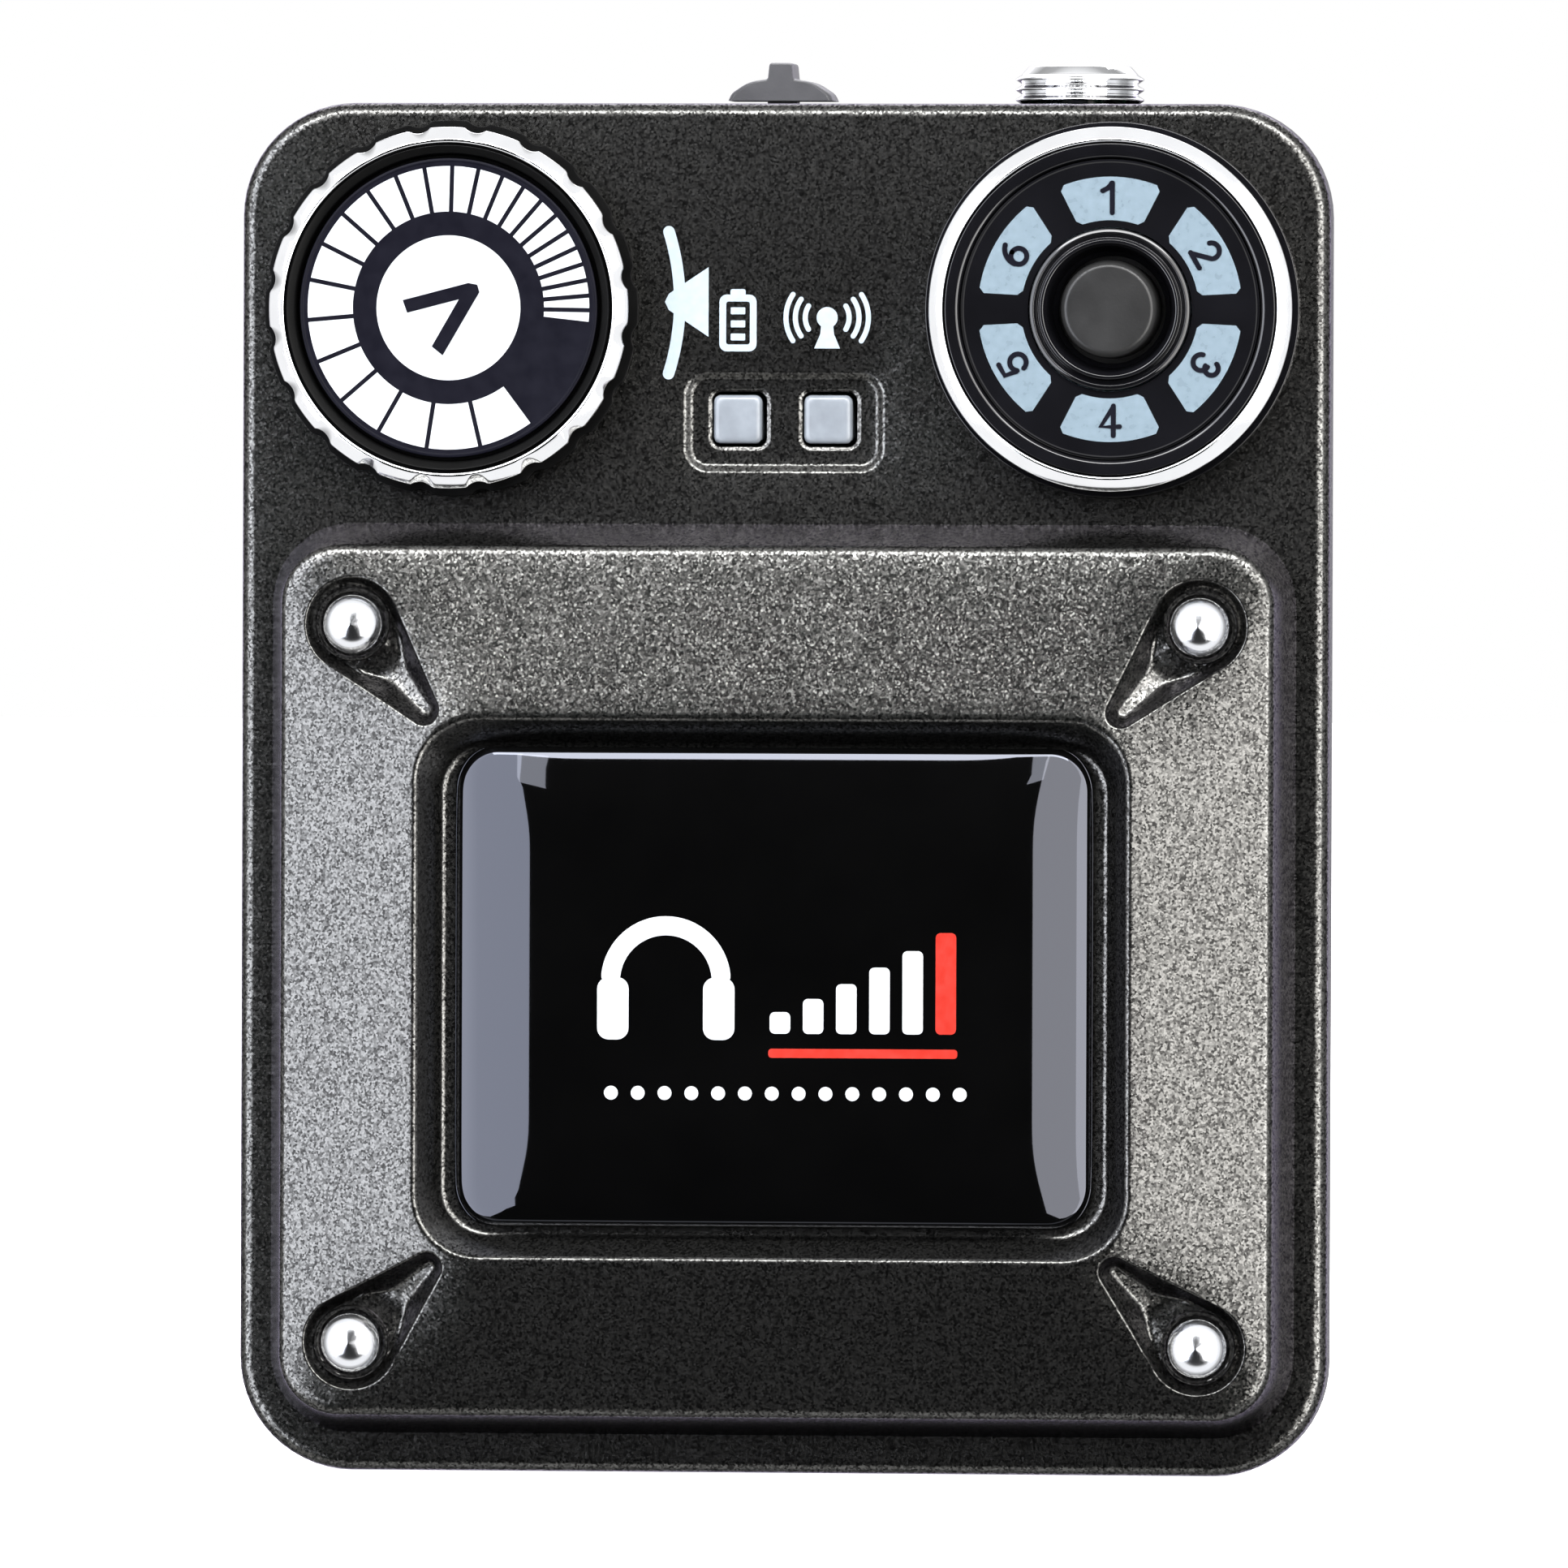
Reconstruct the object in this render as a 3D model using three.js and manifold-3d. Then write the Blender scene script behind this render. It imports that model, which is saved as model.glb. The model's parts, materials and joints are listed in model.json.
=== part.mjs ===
// A pocket-size wireless receiver for in-ear monitors: a tapered two-part case with a raised front
// frame, a volume knob, a channel selector, a top power switch, a headphone jack and a belt clip.
//
// Millimetres, +Z up, front face towards -Y. The origin is on the flat bottom face of the case.
import * as THREE from "three";
import { mergeVertices } from "three/addons/utils/BufferGeometryUtils.js";
import Module from "manifold-3d";

const wasm = await Module();
wasm.setup();

// ---- driving dimensions ----

const GAP = 0.3; // clearance between neighbouring pieces

const CASE = {
  halfWidth: 33,
  height: 82.7,
  cornerRadius: 6.85,
  faceY: -8.5, // flat upper part of the front face
  backY: 8.5,
  wideY: -6.15, // the sides taper inwards behind this plane
  partingY: -5.6, // rear edge of the front cover
  sideDraft: THREE.MathUtils.degToRad(5.5),
  edgeRadius: 1.3,
  wall: 1.8,
};

// The raised frame on the lower front, as rounded rectangles at growing height above the face.
const FRAME = {
  foot: { rise: 0, half: 31.3, low: 2.3, high: 57.3, radius: 4.9 },
  shoulder: { rise: 4.3, half: 29.95, low: 3.6, high: 55.9, radius: 3.55 },
  rim: { rise: 6.9, half: 21.5, low: 13.1, high: 45.6, radius: 3.8 },
  floor: { rise: 4.5, half: 20.1, low: 14.4, high: 44, radius: 3 },
};
const BADGE = { half: 19.27, low: 15, high: 43.85, radius: 2.4, edge: 0.9, dome: 2 };

const STUD = { x: 25.6, lowZ: 7.9, highZ: 51.2, head: 1.8, shank: 0.9, well: 2.9, wellRise: 4 };
const STUD_TAIL = { x: 21.2, lowZ: 12.6, highZ: 46.1, radius: 0.6 };

const DIAL = {
  volumeX: -20.1,
  selectorX: 19.95,
  z: 70.28,
  flange: 11.45,
  ring: 10.95,
  ringInner: 10.05,
  plate: 9,
};
const VOLUME_HOLE = 3.6;
const SELECTOR_HOLE = 8.25;
const NOTCHES = { count: 20, depth: 0.3, width: THREE.MathUtils.degToRad(6) };
const WINDOWS = { count: 6, inner: 5.32, outer: 8.02, middle: 6.7, span: THREE.MathUtils.degToRad(46) };
const BUTTON = { radius: 2.95, flange: 3.4 };

const BOARD = { half: 29, low: 3.6, high: 78.6, frontY: 2.4, thickness: 1.2, chamfer: 7.5 };
const BOSS = { x: 27.6, lowZ: 5.4, highZ: 77.3, radius: 1.8, pilot: 1.05 };

const STATUS = { x: 2.75, z: 63.8, side: 2.93, corner: 0.4 };
const STATUS_PANEL = { half: 6.18, low: 60.6, high: 66.85, radius: 1.45, depth: 0.5 };
const POWER = { x: -1, y: 0.25, travel: 2 };
const JACK = { x: 17.15, y: -0.6, bore: 1.8, thread: 3.9, rise: 2.4 };
const PORT = { z: 30, y: 0.75, width: 7.6, height: 2.7, depth: 5.2, faceX: 31.8 };
const CLIP = { width: 20, thickness: 1, footLow: 53, bendZ: 71, bendRadius: 2.7, tipZ: 18 };

// ---- materials ----

function finish(color, roughness, metalness) {
  return new THREE.MeshStandardMaterial({ color, roughness, metalness });
}

const FINISH = {
  paint: finish(0x3c3b3a, 0.5, 0.4),
  chrome: finish(0xdfe3e8, 0.12, 1),
  steel: finish(0x9a9da1, 0.35, 1),
  blackSteel: finish(0x1b1b1c, 0.45, 0.8),
  gloss: finish(0x060605, 0.08, 0),
  blackPlastic: finish(0x17171a, 0.5, 0),
  greyPlastic: finish(0x77777a, 0.55, 0),
  whitePrint: finish(0xf4f6f8, 0.4, 0),
  lens: finish(0xc6d0dc, 0.3, 0),
  board: finish(0x1f5a38, 0.5, 0),
  foil: finish(0xb9bcc0, 0.4, 0.6),
  foam: finish(0x2a2a2c, 0.95, 0),
  brass: finish(0xc9a65a, 0.3, 1),
  wire: finish(0xa01f1c, 0.6, 0),
};

// ---- geometry helpers ----

// Keeps only positions, merges shared vertices and turns the faces outwards.
function closed(geometry) {
  const bare = new THREE.BufferGeometry();
  bare.setAttribute("position", geometry.getAttribute("position"));
  if (geometry.index) bare.setIndex(geometry.index);
  const merged = mergeVertices(bare, 1e-4);
  const index = merged.index.array;
  const point = [0, 1, 2].map(() => new THREE.Vector3());
  let volume = 0;
  for (let i = 0; i < index.length; i += 3) {
    point.forEach((p, k) => p.fromBufferAttribute(merged.attributes.position, index[i + k]));
    volume += point[0].dot(point[1].cross(point[2]));
  }
  if (volume < 0)
    for (let i = 0; i < index.length; i += 3)
      [index[i + 1], index[i + 2]] = [index[i + 2], index[i + 1]];
  return merged;
}

function toSolid(geometry) {
  const merged = closed(geometry);
  const vertProperties = new Float32Array(merged.attributes.position.array);
  return new wasm.Manifold(
    new wasm.Mesh({ numProp: 3, vertProperties, triVerts: new Uint32Array(merged.index.array) }),
  );
}

function toGeometry(solid) {
  const mesh = solid.getMesh();
  return new THREE.BufferGeometry()
    .setAttribute("position", new THREE.BufferAttribute(mesh.vertProperties, 3))
    .setIndex(new THREE.BufferAttribute(mesh.triVerts, 1));
}

function join(...geometries) {
  return toGeometry(geometries.map(toSolid).reduce((sum, next) => sum.add(next)));
}

function cut(geometry, ...tools) {
  return toGeometry(tools.map(toSolid).reduce((left, tool) => left.subtract(tool), toSolid(geometry)));
}

function named(name, geometry, material) {
  const shown = closed(geometry);
  shown.computeVertexNormals();
  const mesh = new THREE.Mesh(shown, material);
  mesh.name = name;
  return mesh;
}

function block([x0, x1], [y0, y1], [z0, z1]) {
  return new THREE.BoxGeometry(x1 - x0, y1 - y0, z1 - z0).translate(
    (x0 + x1) / 2,
    (y0 + y1) / 2,
    (z0 + z1) / 2,
  );
}

// A rod along Y from backY to frontY, where frontY is the smaller value.
function rodY(radius, x, z, backY, frontY, steps = 20) {
  return new THREE.CylinderGeometry(radius, radius, backY - frontY, steps).translate(
    x,
    (backY + frontY) / 2,
    z,
  );
}

// A turned piece whose axis is Y; its profile gives radius and height above the face, towards -Y.
function turned(profile, steps = 40) {
  return new THREE.LatheGeometry(
    profile.map(([radius, height]) => new THREE.Vector2(radius, -height)),
    steps,
  );
}

// Profiles of a plain disc and of a plain ring between two heights.
const disc = (radius, low, high) => [[0, low], [radius, low], [radius, high], [0, high]];
const band = (inner, outer, low, high) => [
  [inner, low],
  [outer, low],
  [outer, high],
  [inner, high],
  [inner, low],
];

// A turned piece whose axis is Z; its profile gives radius and height.
function turnedUp(profile, steps = 24) {
  const points = profile.map(([radius, height]) => new THREE.Vector2(radius, height));
  return new THREE.LatheGeometry(points, steps).rotateX(Math.PI / 2);
}

// A flat plate drawn in X and Z, from backY forwards by its thickness.
function plate(shape, backY, thickness, curveSegments = 6) {
  return new THREE.ExtrudeGeometry(shape, { depth: thickness, bevelEnabled: false, curveSegments })
    .rotateX(Math.PI / 2)
    .translate(0, backY, 0);
}

function roundedShape({ half, low, high, radius }, x = 0) {
  const quarter = Math.PI / 2;
  const left = x - half + radius;
  const right = x + half - radius;
  return new THREE.Shape()
    .absarc(right, high - radius, radius, 0, quarter)
    .absarc(left, high - radius, radius, quarter, 2 * quarter)
    .absarc(left, low + radius, radius, 2 * quarter, 3 * quarter)
    .absarc(right, low + radius, radius, 3 * quarter, 4 * quarter)
    .closePath();
}

const CORNER_STEPS = 6;

function loop({ half, low, high, radius }) {
  const x = half - radius;
  const centres = [
    [x, high - radius],
    [-x, high - radius],
    [-x, low + radius],
    [x, low + radius],
  ];
  return centres.flatMap(([centreX, centreZ], corner) =>
    Array.from({ length: CORNER_STEPS + 1 }, (_, step) => {
      const angle = ((corner + step / CORNER_STEPS) * Math.PI) / 2;
      return [centreX + radius * Math.cos(angle), centreZ + radius * Math.sin(angle)];
    }),
  );
}

// A closed skin through rounded rectangles, each at its own y.
function loft(sections) {
  const loops = sections.map(loop);
  const count = loops[0].length;
  const positions = loops.flatMap((points, i) => points.flatMap(([x, z]) => [x, sections[i].y, z]));
  const index = [];
  for (let section = 0; section < loops.length - 1; section++)
    for (let i = 0; i < count; i++) {
      const here = section * count + i;
      const next = section * count + ((i + 1) % count);
      index.push(here, next, next + count, here, next + count, here + count);
    }
  const last = (loops.length - 1) * count;
  for (let i = 1; i < count - 1; i++) index.push(0, i + 1, i, last, last + i, last + i + 1);
  return new THREE.BufferGeometry()
    .setAttribute("position", new THREE.Float32BufferAttribute(positions, 3))
    .setIndex(index);
}

// ---- case ----

const taperAt = (y) => Math.max(0, y - CASE.wideY) * Math.tan(CASE.sideDraft);

// The outside of the case at a given y, moved in by inset all round.
function caseSection(y, inset = 0) {
  return {
    y,
    half: CASE.halfWidth - taperAt(y) - inset,
    low: inset,
    high: CASE.height - inset,
    radius: CASE.cornerRadius - inset,
  };
}

// Sections of a rounded edge that turns from the side walls onto a face, towards +Y or -Y.
function edgeSections(faceY, direction) {
  const startY = faceY - direction * CASE.edgeRadius;
  return [0, 1, 2, 3, 4].map((step) => {
    const angle = (step * Math.PI) / 8;
    const y = startY + direction * CASE.edgeRadius * Math.sin(angle);
    return { ...caseSection(startY, CASE.edgeRadius * (1 - Math.cos(angle))), y };
  });
}

const frameSection = ({ rise, ...outline }, inset = 0) => ({
  y: CASE.faceY - rise,
  half: outline.half - inset,
  low: outline.low + inset,
  high: outline.high - inset,
  radius: outline.radius,
});

const studPlaces = [-1, 1].flatMap((side) => [
  { x: side * STUD.x, z: STUD.lowZ, tailX: side * STUD_TAIL.x, tailZ: STUD_TAIL.lowZ },
  { x: side * STUD.x, z: STUD.highZ, tailX: side * STUD_TAIL.x, tailZ: STUD_TAIL.highZ },
]);
const bossPlaces = [-1, 1].flatMap((side) => [
  { x: side * BOSS.x, z: BOSS.lowZ },
  { x: side * BOSS.x, z: BOSS.highZ },
]);

// The drop-shaped hollow around a stud: a round well with a cone that runs out towards the badge.
function studHollow({ x, z, tailX, tailZ }) {
  const wellY = CASE.faceY - STUD.wellRise;
  const head = new THREE.Vector3(x, wellY - STUD.head, z);
  const tail = new THREE.Vector3(tailX, CASE.faceY - FRAME.rim.rise, tailZ);
  const along = tail.clone().sub(head);
  const cone = new THREE.CylinderGeometry(STUD_TAIL.radius, STUD.well - GAP, along.length(), 16);
  cone.applyQuaternion(
    new THREE.Quaternion().setFromUnitVectors(new THREE.Vector3(0, 1, 0), along.clone().normalize()),
  );
  cone.translate(...head.add(tail).multiplyScalar(0.5).toArray());
  return join(rodY(STUD.well, x, z, wellY, wellY - STUD.well * 2), cone);
}

function frontCover() {
  const skin = loft([
    caseSection(CASE.partingY),
    ...edgeSections(CASE.faceY, -1),
    frameSection(FRAME.foot),
    frameSection(FRAME.shoulder),
    frameSection(FRAME.rim),
    frameSection(FRAME.floor),
  ]);
  const insideY = CASE.faceY + CASE.wall;
  const frontY = CASE.faceY - FRAME.floor.rise + CASE.wall;
  const behindFrame = { ...frameSection(FRAME.foot, 2.9), radius: 2 };
  const hollow = loft([
    { ...caseSection(CASE.wideY, CASE.wall), y: CASE.partingY + 1 },
    { ...caseSection(CASE.wideY, CASE.wall), y: insideY },
    { ...behindFrame, y: insideY },
    { ...behindFrame, half: behindFrame.half - 1, y: frontY },
  ]);
  const bosses = bossPlaces.map(({ x, z }) =>
    rodY(BOSS.radius, x, z, BOARD.frontY - 2 * GAP, insideY - 1, 16),
  );
  const pilots = bossPlaces.map(({ x, z }) =>
    rodY(BOSS.pilot, x, z, BOARD.frontY, insideY + 1, 12),
  );
  const statusHoles = [-1, 1].map((side) =>
    plate(
      roundedShape(
        {
          half: STATUS.side / 2 + GAP,
          low: STATUS.z - STATUS.side / 2 - GAP,
          high: STATUS.z + STATUS.side / 2 + GAP,
          radius: STATUS.corner + GAP,
        },
        side * STATUS.x,
      ),
      insideY + 1,
      2 * CASE.wall,
      3,
    ),
  );
  return cut(
    join(cut(skin, hollow), ...bosses),
    ...pilots,
    ...studPlaces.map(studHollow),
    ...studPlaces.map(({ x, z }) => rodY(STUD.shank + GAP, x, z, 0, CASE.faceY - 5, 12)),
    rodY(VOLUME_HOLE, DIAL.volumeX, DIAL.z, insideY + 1, CASE.faceY - 1, 24),
    rodY(SELECTOR_HOLE, DIAL.selectorX, DIAL.z, insideY + 1, CASE.faceY - 1, 36),
    plate(roundedShape(STATUS_PANEL), CASE.faceY + STATUS_PANEL.depth, 2, 4),
    ...statusHoles,
  );
}

function rearCover() {
  const frontY = CASE.partingY + GAP;
  const insideY = CASE.backY - CASE.wall;
  const skin = loft([caseSection(frontY), ...edgeSections(CASE.backY, 1)]);
  const hollow = loft([
    { ...caseSection(frontY, CASE.wall), y: frontY - 1 },
    caseSection(insideY, CASE.wall),
  ]);
  const pillars = bossPlaces.map(({ x, z }) => rodY(2.6, x, z, CASE.backY - 0.5, BOARD.frontY, 20));
  const seats = bossPlaces.flatMap(({ x, z }) => [
    rodY(1.2, x, z, CASE.backY + 1, 0),
    rodY(2.3, x, z, CASE.backY + 1, CASE.backY - 1.4),
  ]);
  const clipBosses = clipScrewHeights.map((z) => rodY(2.6, 0, z, CASE.backY - 0.5, 4.4));
  const clipHoles = clipScrewHeights.map((z) => rodY(1.2, 0, z, CASE.backY + 1, 4));
  const jackHole = new THREE.CylinderGeometry(JACK.thread + GAP, JACK.thread + GAP, 6, 32)
    .rotateX(Math.PI / 2)
    .translate(JACK.x, JACK.y, CASE.height);
  const slotHalf = POWER.travel / 2 + 1.1;
  const switchSlot = block(
    [-slotHalf, slotHalf],
    [POWER.y - 1.1, POWER.y + 1.1],
    [CASE.height - 4, CASE.height + 1],
  );
  const portSlot = block(
    [CASE.halfWidth - 4, CASE.halfWidth + 1],
    [PORT.y - PORT.height / 2 - GAP, PORT.y + PORT.height / 2 + GAP],
    [PORT.z - PORT.width / 2 - GAP, PORT.z + PORT.width / 2 + GAP],
  );
  return cut(
    join(cut(skin, hollow), ...pillars, ...clipBosses),
    ...seats,
    ...clipHoles,
    jackHole,
    switchSlot,
    portSlot,
  );
}

function rearScrew({ x, z }, number) {
  const seatY = CASE.backY - 1.4;
  const head = turned(
    [
      [0, -0.9],
      [1.6, -0.9],
      [2, -0.5],
      [2, 0.1],
      [0.8, 0.1],
      [0.8, 8.5],
      [0, 9.2],
    ],
    16,
  );
  const screw = named("case_screw_" + number, head, FINISH.blackSteel);
  screw.position.set(x, seatY + GAP, z);
  return screw;
}

// ---- front details ----

function badge() {
  const { edge, dome, ...outline } = BADGE;
  const baseY = CASE.faceY - FRAME.floor.rise - GAP;
  const steps = [0, 0.35, 0.8, 1.6, 3, 5.5, 9];
  const crown = steps.map((inset) => ({
    half: outline.half - inset,
    low: outline.low + inset,
    high: outline.high - inset,
    radius: outline.radius + inset * 0.2,
    y: baseY - edge - (dome - edge) * (1 - (1 - inset / 9) ** 4),
  }));
  return loft([{ ...outline, y: baseY }, ...crown]);
}

function frontStud({ x, z }, number) {
  const profile = [
    [0, -2.2],
    [STUD.shank, -2.2],
    [STUD.shank, GAP],
    [STUD.head, GAP],
    [STUD.head, 0.7],
    [1.56, 1.15],
    [1, 1.5],
    [0, 1.7],
  ];
  const stud = named("front_stud_" + number, turned(profile, 20), FINISH.chrome);
  stud.position.set(x, CASE.faceY - STUD.wellRise, z);
  return stud;
}

function statusLight(name, x) {
  const { z, side, corner } = STATUS;
  const outline = { half: side / 2, low: z - side / 2, high: z + side / 2, radius: corner };
  const lampY = [BOARD.frontY - 1.1, BOARD.frontY - GAP];
  const lamp = block([x - 0.9, x + 0.9], lampY, [z - 0.6, z + 0.6]);
  return [
    named(name + "_lens", plate(roundedShape(outline, x), 1, 8.9, 3), FINISH.lens),
    named(name + "_led", lamp, FINISH.whitePrint),
  ];
}

// ---- volume knob ----

// A ring outline with shallow round notches, measured from its own centre.
function notchedShape(outer, inner) {
  const points = [];
  const pitch = (2 * Math.PI) / NOTCHES.count;
  for (let i = 0; i < NOTCHES.count; i++) {
    const start = i * pitch;
    points.push(
      [start, outer],
      [start + pitch / 2, outer],
      [start + pitch - NOTCHES.width, outer],
      [start + pitch - NOTCHES.width / 2, outer - NOTCHES.depth],
    );
  }
  const shape = new THREE.Shape(
    points.map(
      ([angle, radius]) => new THREE.Vector2(radius * Math.cos(angle), radius * Math.sin(angle)),
    ),
  );
  shape.holes.push(new THREE.Path().absarc(0, 0, inner, 0, 2 * Math.PI, true));
  return shape;
}

function volumeKnob() {
  const dial = new THREE.Group();
  dial.position.set(DIAL.volumeX, CASE.faceY, DIAL.z);
  const body = turned([
    [0, 1.1],
    [3.3, 1.1],
    [3.3, 0.4],
    [DIAL.flange, 0.4],
    [DIAL.flange, 1.2],
    [DIAL.ringInner - GAP, 1.2],
    [DIAL.ringInner - GAP, 3.1],
    [DIAL.plate + GAP, 2.6],
    [DIAL.plate + GAP, 1.8],
    [0, 1.8],
  ]);
  dial.add(
    named("volume_knob", body, FINISH.blackPlastic),
    named(
      "volume_trim_ring",
      plate(notchedShape(DIAL.ring, DIAL.ringInner), -1.5, 1.6, 20),
      FINISH.chrome,
    ),
    named("volume_scale_plate", turned(disc(DIAL.plate, 2.1, 2.6)), FINISH.whitePrint),
    named("volume_shaft", turned(disc(3, -6.5, 0.8), 24), FINISH.brass),
  );
  return dial;
}

function volumePot() {
  const half = 5.2;
  const body = block(
    [DIAL.volumeX - half, DIAL.volumeX + half],
    [-4.2, BOARD.frontY - GAP],
    [DIAL.z - half, DIAL.z + half],
  );
  return named(
    "volume_pot_body",
    cut(body, rodY(3.3, DIAL.volumeX, DIAL.z, -1.5, -6, 24)),
    FINISH.blackPlastic,
  );
}

// ---- channel selector ----

// One window: a stretch of a ring, centred on the given angle.
function windowShape(angle, inner, outer, span) {
  return new THREE.Shape()
    .absarc(0, 0, outer, angle - span / 2, angle + span / 2, false)
    .absarc(0, 0, inner, angle + span / 2, angle - span / 2, true)
    .closePath();
}

const windowAngles = Array.from(
  { length: WINDOWS.count },
  (_, i) => Math.PI / 2 - (i * 2 * Math.PI) / WINDOWS.count,
);

function channelDial() {
  const dial = new THREE.Group();
  dial.position.set(DIAL.selectorX, CASE.faceY, DIAL.z);
  const bezel = turned([
    [DIAL.plate + GAP, GAP],
    [DIAL.flange, GAP],
    [DIAL.flange, 0.9],
    [DIAL.ringInner - GAP, 0.9],
    [DIAL.ringInner - GAP, 3.1],
    [DIAL.plate + GAP, 2.6],
    [DIAL.plate + GAP, GAP],
  ]);
  const ring = turned([
    [DIAL.ringInner, 1.2],
    [DIAL.ring, 1.2],
    [DIAL.ring, 2.4],
    [DIAL.ringInner, 3.3],
    [DIAL.ringInner, 1.2],
  ]);
  const windowDisc = turned(band(4.95, DIAL.plate, 1.8, 2.6));
  const openings = windowAngles.map((angle) =>
    plate(windowShape(angle, WINDOWS.inner, WINDOWS.outer, WINDOWS.span), 0, 4),
  );
  const guideTop = 1.5;
  const guideOuter = 7.95;
  const guide = turned(band(4.9, guideOuter, -2.7, guideTop));
  const padMargin = 0.15;
  const pads = windowAngles.map((angle) =>
    plate(
      windowShape(angle, WINDOWS.inner + padMargin, WINDOWS.outer - padMargin, WINDOWS.span - 0.05),
      -guideTop + 0.5,
      1.45,
    ),
  );
  const hub = turned(
    [
      [3.25, 0.5],
      [4.75, 0.5],
      [4.75, 2.9],
      [4.45, 3.2],
      [3.9, 3.1],
      [3.7, 2.6],
      [3.7, 1.3],
      [3.25, 1.3],
      [3.25, 0.5],
    ],
    32,
  );
  const button = turned(
    [
      [0, -0.8],
      [BUTTON.flange, -0.8],
      [BUTTON.flange, 0.2],
      [BUTTON.radius, 0.2],
      [BUTTON.radius, 3],
      [2.6, 3.4],
      [1.5, 3.55],
      [0, 3.6],
    ],
    28,
  );
  dial.add(
    named("channel_bezel", bezel, FINISH.gloss),
    named("channel_trim_ring", ring, FINISH.chrome),
    named("channel_window_plate", cut(windowDisc, ...openings), FINISH.gloss),
    named("channel_light_guide", join(guide, ...pads), FINISH.lens),
    named("channel_hub_ring", hub, FINISH.gloss),
    named("channel_button", button, FINISH.blackPlastic),
    named("channel_switch_stem", turned(disc(1.6, -3, -1.1), 20), FINISH.whitePrint),
    ...channelBoard(),
  );
  return dial;
}

// The small board behind the selector, with its press switch and one lamp per window.
function channelBoard() {
  const backing = turned(disc(8, -4.7, -3.9), 32);
  const switchBody = cut(block([-3, 3], [1.9, 3.6], [-3, 3]), rodY(1.9, 0, 0, 4, 1));
  const lamps = windowAngles.map((angle, i) => {
    const chip = block([-0.8, 0.8], [3, 3.6], [-0.4, 0.4]);
    const lamp = named("channel_led_" + (i + 1), chip, FINISH.whitePrint);
    lamp.position.set(WINDOWS.middle * Math.cos(angle), 0, WINDOWS.middle * Math.sin(angle));
    lamp.rotation.y = Math.PI / 2 - angle;
    return lamp;
  });
  return [
    named("channel_board", backing, FINISH.board),
    named("channel_switch_body", switchBody, FINISH.blackPlastic),
    ...lamps,
  ];
}

// ---- top: power switch and headphone jack ----

function powerSwitch() {
  const group = new THREE.Group();
  group.position.set(POWER.x, POWER.y, CASE.height);
  const domeShape = new THREE.Shape()
    .moveTo(-3.2, GAP)
    .lineTo(3.2, GAP)
    .quadraticCurveTo(2.9, 1.15, 1.4, 1.5)
    .lineTo(0.95, 2.6)
    .lineTo(-0.95, 2.6)
    .lineTo(-1.4, 1.5)
    .quadraticCurveTo(-2.9, 1.15, -3.2, GAP);
  const settings = { depth: 4, bevelEnabled: false, curveSegments: 5 };
  const dome = new THREE.ExtrudeGeometry(domeShape, settings)
    .rotateX(Math.PI / 2)
    .translate(0, 2, 0);
  const cap = join(dome, block([-0.9, 0.9], [-0.8, 0.8], [-3.2, GAP + 0.2]));
  const lever = block([-0.7, 0.7], [-0.7, 0.7], [-6.1, -3.5]);
  group.add(
    named("power_switch_cap", cap, FINISH.greyPlastic),
    named("power_switch_lever", lever, FINISH.blackPlastic),
  );
  return group;
}

function powerSwitchBody() {
  const reach = POWER.travel / 2 + 0.7 + GAP;
  const body = block([-4.5, 4.5], [POWER.y - 1.85, POWER.y + 1.85], [72.6, 77.6]);
  const channel = block([-reach, reach], [POWER.y - 1, POWER.y + 1], [76.2, 78]);
  return named("power_switch_body", cut(body, channel), FINISH.steel);
}

function jackCollar() {
  const ridges = [0.2, 0.9, 1.6].flatMap((height) => [
    [3.55, height],
    [JACK.thread, height + 0.2],
    [JACK.thread, height + 0.4],
    [3.55, height + 0.6],
  ]);
  const profile = [
    [JACK.bore, -3],
    [3.55, -3],
    ...ridges,
    [3.1, JACK.rise],
    [JACK.bore, JACK.rise],
    [JACK.bore, -3],
  ];
  const collar = named("jack_collar", turnedUp(profile), FINISH.chrome);
  collar.position.set(JACK.x, JACK.y, CASE.height);
  return collar;
}

function jackBody() {
  const body = block(
    [JACK.x - 3.6, JACK.x + 3.6],
    [JACK.y - 2.7, JACK.y + 2.7],
    [66.5, CASE.height - 3 - GAP],
  );
  const bore = new THREE.CylinderGeometry(JACK.bore, JACK.bore, 12, 20)
    .rotateX(Math.PI / 2)
    .translate(JACK.x, JACK.y, 74.5);
  return named("jack_body", cut(body, bore), FINISH.blackPlastic);
}

// ---- charging port ----

function chargePort() {
  const { z, y, width, height, depth, faceX } = PORT;
  const sheet = 0.35;
  const shell = block(
    [faceX - depth, faceX],
    [y - height / 2, y + height / 2],
    [z - width / 2, z + width / 2],
  );
  const mouth = block(
    [faceX - depth + sheet, faceX + 1],
    [y - height / 2 + sheet, y + height / 2 - sheet],
    [z - width / 2 + sheet, z + width / 2 - sheet],
  );
  const tongueBack = faceX - depth + sheet + GAP;
  const tongue = block([tongueBack, faceX - 0.8], [y - 0.35, y + 0.35], [z - 2, z + 2]);
  return [
    named("charge_port_shell", cut(shell, mouth), FINISH.steel),
    named("charge_port_tongue", tongue, FINISH.blackPlastic),
  ];
}

// ---- electronics ----

function mainBoard() {
  const { half, low, high, frontY, thickness, chamfer } = BOARD;
  const corners = [
    [half, low + chamfer],
    [half, high - chamfer],
    [half - chamfer, high],
    [chamfer - half, high],
    [-half, high - chamfer],
    [-half, low + chamfer],
    [chamfer - half, low],
    [half - chamfer, low],
  ];
  const shape = new THREE.Shape(corners.map(([x, z]) => new THREE.Vector2(x, z)));
  return named("main_board", plate(shape, frontY + thickness, thickness), FINISH.board);
}

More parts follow.
